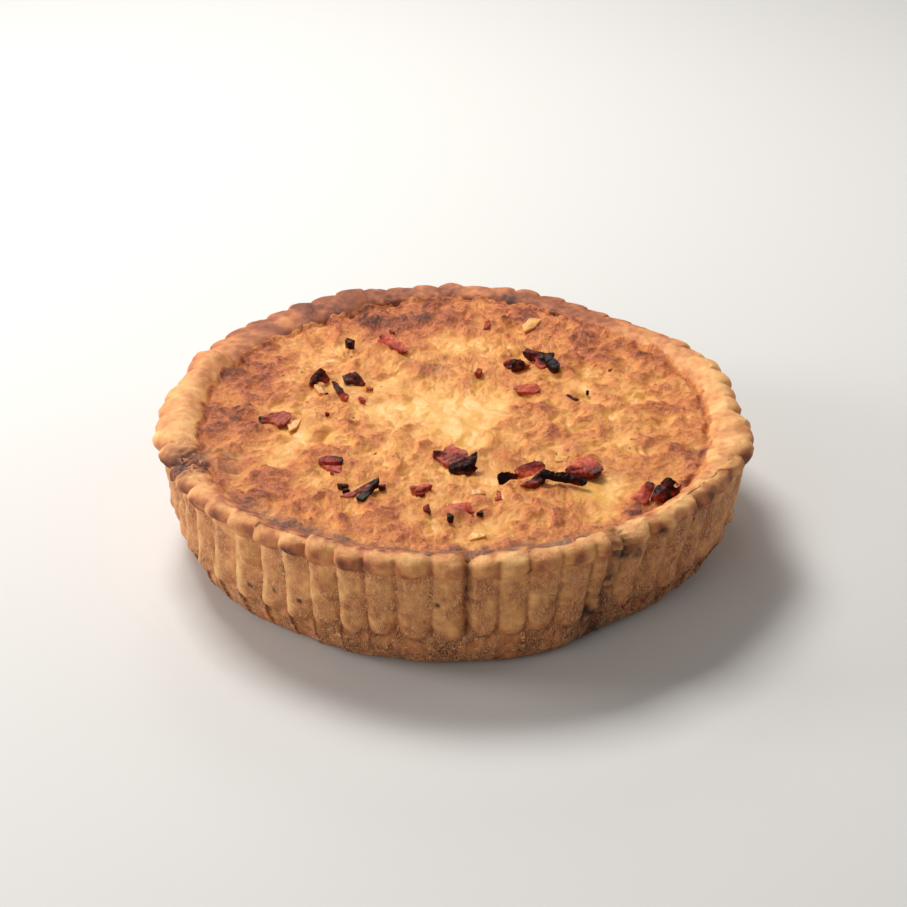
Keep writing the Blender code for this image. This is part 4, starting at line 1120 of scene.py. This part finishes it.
# Bacon crumbs: scraps that broke off the lardons in the pan, half sunk in the custard.
# Each: x, y, length, width, turn in degrees, height, char and share of fat.
SCRAPS = (
    (-9.6, -51.6, 7.0, 3.4, 8, 1.4, 0.3, 0.9), (-9.6, -54.8, 3.8, 1.6, 10, 1.0, 0.55, 0.0),
    (-37.0, 49.6, 4.0, 3.0, 40, 3.2, 0.95, 0.0), (10.2, 28.4, 4.0, 3.0, 60, 1.4, 0.5, 0.2),
    (42.4, 9.0, 5.6, 2.0, -20, 1.2, 0.7, 0.3), (13.4, 66.0, 8.6, 2.6, 70, 1.0, 0.4, 0.6),
    (-30.8, 8.4, 4.2, 2.8, -30, 1.0, 0.35, 0.5), (48.0, 14.0, 1.6, 1.4, 0, 1.0, 0.9, 0.0),
    (-42.2, -1.0, 3.0, 1.2, 15, 0.8, 0.6, 0.0), (-38.0, -41.4, 3.0, 1.5, -20, 0.8, 0.6, 0.3),
    (15.6, -55.4, 1.5, 4.2, 15, 1.4, 0.45, 0.1), (15.0, -57.6, 2.6, 1.6, 0, 0.9, 0.35, 0.4),
    (-7.4, -64.0, 3.2, 4.2, 10, 1.6, 0.6, 0.0), (0.2, -68.2, 3.0, 3.4, 20, 1.9, 1.0, 0.0),
    (9.0, -66.0, 2.8, 2.4, -30, 1.4, 0.85, 0.0), (7.0, -66.6, 2.4, 1.2, 30, 0.8, 0.6, 0.0),
    (2.8, -62.6, 9.6, 6.4, 5, 0.55, 0.15, 0.6), (-28.6, 17.0, 3.2, 1.6, -15, 0.8, 0.4, 0.7),
    (-34.6, -50.2, 4.0, 2.0, 25, 1.6, 0.8, 0.2), (-33.6, -53.0, 3.4, 1.4, 10, 1.2, 0.95, 0.0),
    (76.2, -51.4, 3.4, 1.6, 50, 1.2, 0.55, 0.2), (-22.0, -51.2, 2.4, 2.0, 10, 1.6, 0.75, 0.0),
    (-43.6, 12.6, 1.4, 1.0, 20, 0.9, 0.8, 0.0), (-22.0, 60.5, 3.0, 1.2, -40, 0.9, 0.45, 0.3),
    (57.0, 30.0, 2.6, 1.4, 35, 0.8, 0.6, 0.3), (-62.0, 38.0, 2.4, 1.2, -30, 0.8, 0.7, 0.2),
)


def scrap_outline(x, y, length, width, turn, up, char, fat_share, chance):
    """Six ragged corners round a scrap's middle, as one slab."""
    around = np.sort(chance.uniform(0, 360, 6) * 0.35 + np.arange(6) * 60.0 * 0.85)
    turned_x, turned_y = on_circle(1.0, turn)
    out = []
    for way in np.radians(around):
        far = chance.uniform(0.85, 1.12) / max(abs(np.cos(way)), abs(np.sin(way))) ** 0.75
        along, aside = 0.5 * length * far * np.cos(way), 0.5 * width * far * np.sin(way)
        east = x + along * turned_x - aside * turned_y
        north = y + along * turned_y + aside * turned_x
        corner_up = up * chance.uniform(0.75, 1.15)
        out.append((east, north, corner_up, min(1.0, char * chance.uniform(0.75, 1.25))))
    return (up + 0.8, fat_share, tuple(out))


chance = np.random.default_rng(61)
scraps = cut_piece(
    "bacon_scraps", [scrap_outline(*values, chance) for values in SCRAPS], bacon,
    seed=500, grain=0.22, roughness=0.8)
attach(scraps, "root")

# Onion: soft slices and dice, cooked until glassy and pale yellow, with gold edges.
ONIONS = (
    (8.4, -78.0, 6.6, 5.6, 5, 0.1, 0.1, 0.0), (29.6, 66.6, 12.0, 4.6, 62, 0.5, 0.35, 0.0),
    (-53.4, -8.6, 9.4, 5.0, 50, 0.3, 0.35, 0.0), (63.0, -18.6, 7.0, 3.6, 20, 0.4, 0.45, 0.0),
    (36.6, -30.4, 6.0, 4.0, 70, 0.1, 0.3, 0.0), (-44.6, 15.6, 8.6, 6.2, -10, 0.8, 0.5, 0.0),
    (8.2, -52.6, 5.6, 5.2, 35, 0.4, 0.45, 0.0),
)
onion, tree, shader, place = finish("glassy_onion")
gilded = add(tree, "ShaderNodeAttribute", attribute_name="cooked").outputs["Fac"]
strand = add(tree, "ShaderNodeTexNoise", {"Vector": place, "Scale": 500.0, "Detail": 3.0})
strand_swing = add(tree, "ShaderNodeMath", {0: strand, 1: -0.5}, operation="ADD")
golden = add(tree, "ShaderNodeMath", {0: strand_swing, 1: 0.5, 2: gilded}, operation="MULTIPLY_ADD")
flesh = colours(tree, golden, ((0.0, "#E6B465"), (0.35, "#DC9D52"), (0.7, "#BF7A3F"), (1.0, "#7A421F")))
give(tree, shader, {
    "Base Color": flesh, "Roughness": 0.28, "IOR": 1.4,
    "Subsurface Weight": 0.25, "Subsurface Radius": (1.0, 0.6, 0.3), "Subsurface Scale": 2.0 * MM})
onions = cut_piece(
    "onion_dice", [scrap_outline(*values, chance) for values in ONIONS], onion,
    seed=520, grain=0.28, roughness=0.6)
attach(onions, "root")

# Leek: one scorched flake of green leaf beside the left strip.
leek_leaf, tree, shader, place = finish("scorched_leek")
vein = add(tree, "ShaderNodeTexNoise", {"Vector": place, "Scale": 600.0, "Detail": 3.0})
leaf = colours(tree, vein, ((0.3, "#17130A"), (0.55, "#2C2413"), (0.75, "#453318")))
give(tree, shader, {"Base Color": leaf, "Roughness": 0.5, "Specular IOR Level": 0.12})
LEEK = (
    (1.6, 0.0, (
        (-30.2, -58.4, 1.4, 1.0), (-28.8, -56.2, 1.9, 1.0), (-26.7, -55.8, 2.3, 1.0),
        (-25.4, -55.6, 2.1, 1.0), (-26.0, -58.0, 1.6, 1.0), (-27.8, -60.0, 1.1, 1.0),
    )),
)
leek = cut_piece("leek_left_baked", LEEK, leek_leaf, seed=400, roughness=0.4)
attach(leek, "root")
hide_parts("leek_left")

# Pepper and herbs: cracked specks and dried flakes 0.5 to 1.3 mm across, strewn over the custard.
herb, tree, shader, place = finish("dried_herb")
dry = add(tree, "ShaderNodeTexNoise", {"Vector": place, "Scale": 300.0, "Detail": 2.0})
dark = colours(tree, dry, ((0.35, "#2A1C10"), (0.55, "#4A3A22"), (0.7, "#6E5630")))
give(tree, shader, {"Base Color": dark, "Roughness": 0.7})
strew_sizes = {
    "Flakes per square metre": ("NodeSocketFloat", 2000.0), "Smallest": ("NodeSocketFloat", 0.16 * MM),
    "Largest": ("NodeSocketFloat", 0.42 * MM), "Seed": ("NodeSocketInt", 5),
    "Herb": ("NodeSocketMaterial", herb),
}
strewing, given, strew_inputs = geometry_tree("strewn_flakes", "Surface", strew_sizes, "Flakes")
strewn = add(strewing, "GeometryNodeDistributePointsOnFaces", {
    "Mesh": given["Surface"], "Density": given["Flakes per square metre"], "Seed": given["Seed"]})
flake = add(strewing, "GeometryNodeMeshIcoSphere", {"Radius": 1.0, "Subdivisions": 2})
flake_size = add(strewing, "FunctionNodeRandomValue", {
    2: given["Smallest"], 3: given["Largest"], "Seed": given["Seed"]}, data_type="FLOAT")
flattened = add(strewing, "ShaderNodeCombineXYZ", {"X": 1.5, "Y": 0.8, "Z": 0.4})
scaled = add(strewing, "ShaderNodeVectorMath", {0: flattened, 3: flake_size.outputs[1]}, operation="SCALE")
turned = add(strewing, "FunctionNodeRandomValue", {
    0: (0.0, 0.0, 0.0), 1: (0.4, 0.4, 6.283), "Seed": given["Seed"]}, data_type="FLOAT_VECTOR")
placed = add(strewing, "GeometryNodeInstanceOnPoints", {
    "Points": strewn.outputs["Points"], "Instance": flake.outputs["Mesh"],
    "Rotation": turned, "Scale": scaled})
whole = add(strewing, "GeometryNodeRealizeInstances", {"Geometry": placed})
seasoned = add(strewing, "GeometryNodeSetMaterial", {"Geometry": whole, "Material": given["Herb"]})
add(strewing, "NodeGroupOutput", {0: seasoned})
# The flakes lie on the custard's top, and keep clear of its edge.
FLATTEST_SLOPE, STREWN_RADIUS = 0.3, 82.0
top_faces = bmesh.new()
top_faces.from_mesh(custard_mesh)
bmesh.ops.delete(top_faces, geom=[
    face for face in top_faces.faces
    if face.normal.z < FLATTEST_SLOPE or face.calc_center_median().to_2d().length > STREWN_RADIUS * MM
], context="FACES")
flake_mesh = bpy.data.meshes.new("herb_flakes")
top_faces.to_mesh(flake_mesh)
top_faces.free()
flakes = put("herb_flakes", flake_mesh)
use_tree(flakes, strewing, strew_sizes, strew_inputs)
outwards(plain_mesh(flakes, "herb_flakes"))
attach(flakes, "root")

# Studio: a plain pale floor, a broad soft light above and behind, a weak fill in front and soft edge
# lights on both sides.
floor_mesh = bpy.data.meshes.new("floor")
floor_mesh.from_pydata([(-3, -3, 0), (3, -3, 0), (3, 3, 0), (-3, 3, 0)], [], [(0, 1, 2, 3)])
floor = put("floor", floor_mesh)
paper, tree, shader, place = finish("matt_paper")
give(tree, shader, {"Base Color": linear("#D3D0CB"), "Roughness": 0.9})
floor_mesh.materials.append(paper)

# Each light: name, place, size in metres and power in watts.
LIGHTS = (
    ("key", (-0.30, 0.45, 0.90), 0.36, 10.2),
    ("glint", (-0.15, 0.95, 0.62), 0.3, 2.0),
    ("fill", (-0.6, -0.8, 0.5), 0.6, 2.6),
    ("edge_left", (-0.9, 0.05, 0.30), 0.3, 4.2),
    ("edge_right", (0.9, 0.25, 0.25), 0.4, 1.6),
)
LIT_POINT = (0, 0, 0.03)
for name, spot, size, power in LIGHTS:
    lamp = bpy.data.lights.new(name, "AREA")
    lamp.size, lamp.energy = size, power
    light = put(name, lamp)
    light.location = spot
    light.rotation_euler = (Vector(LIT_POINT) - Vector(spot)).to_track_quat("-Z", "Y").to_euler()
world = bpy.data.worlds.new("studio")
world.use_nodes = True
give(world.node_tree, world.node_tree.nodes["Background"], {"Color": linear("#FFFFFF"), "Strength": 0.18})
bpy.context.scene.world = world
bpy.context.scene.view_settings.view_transform = "Standard"
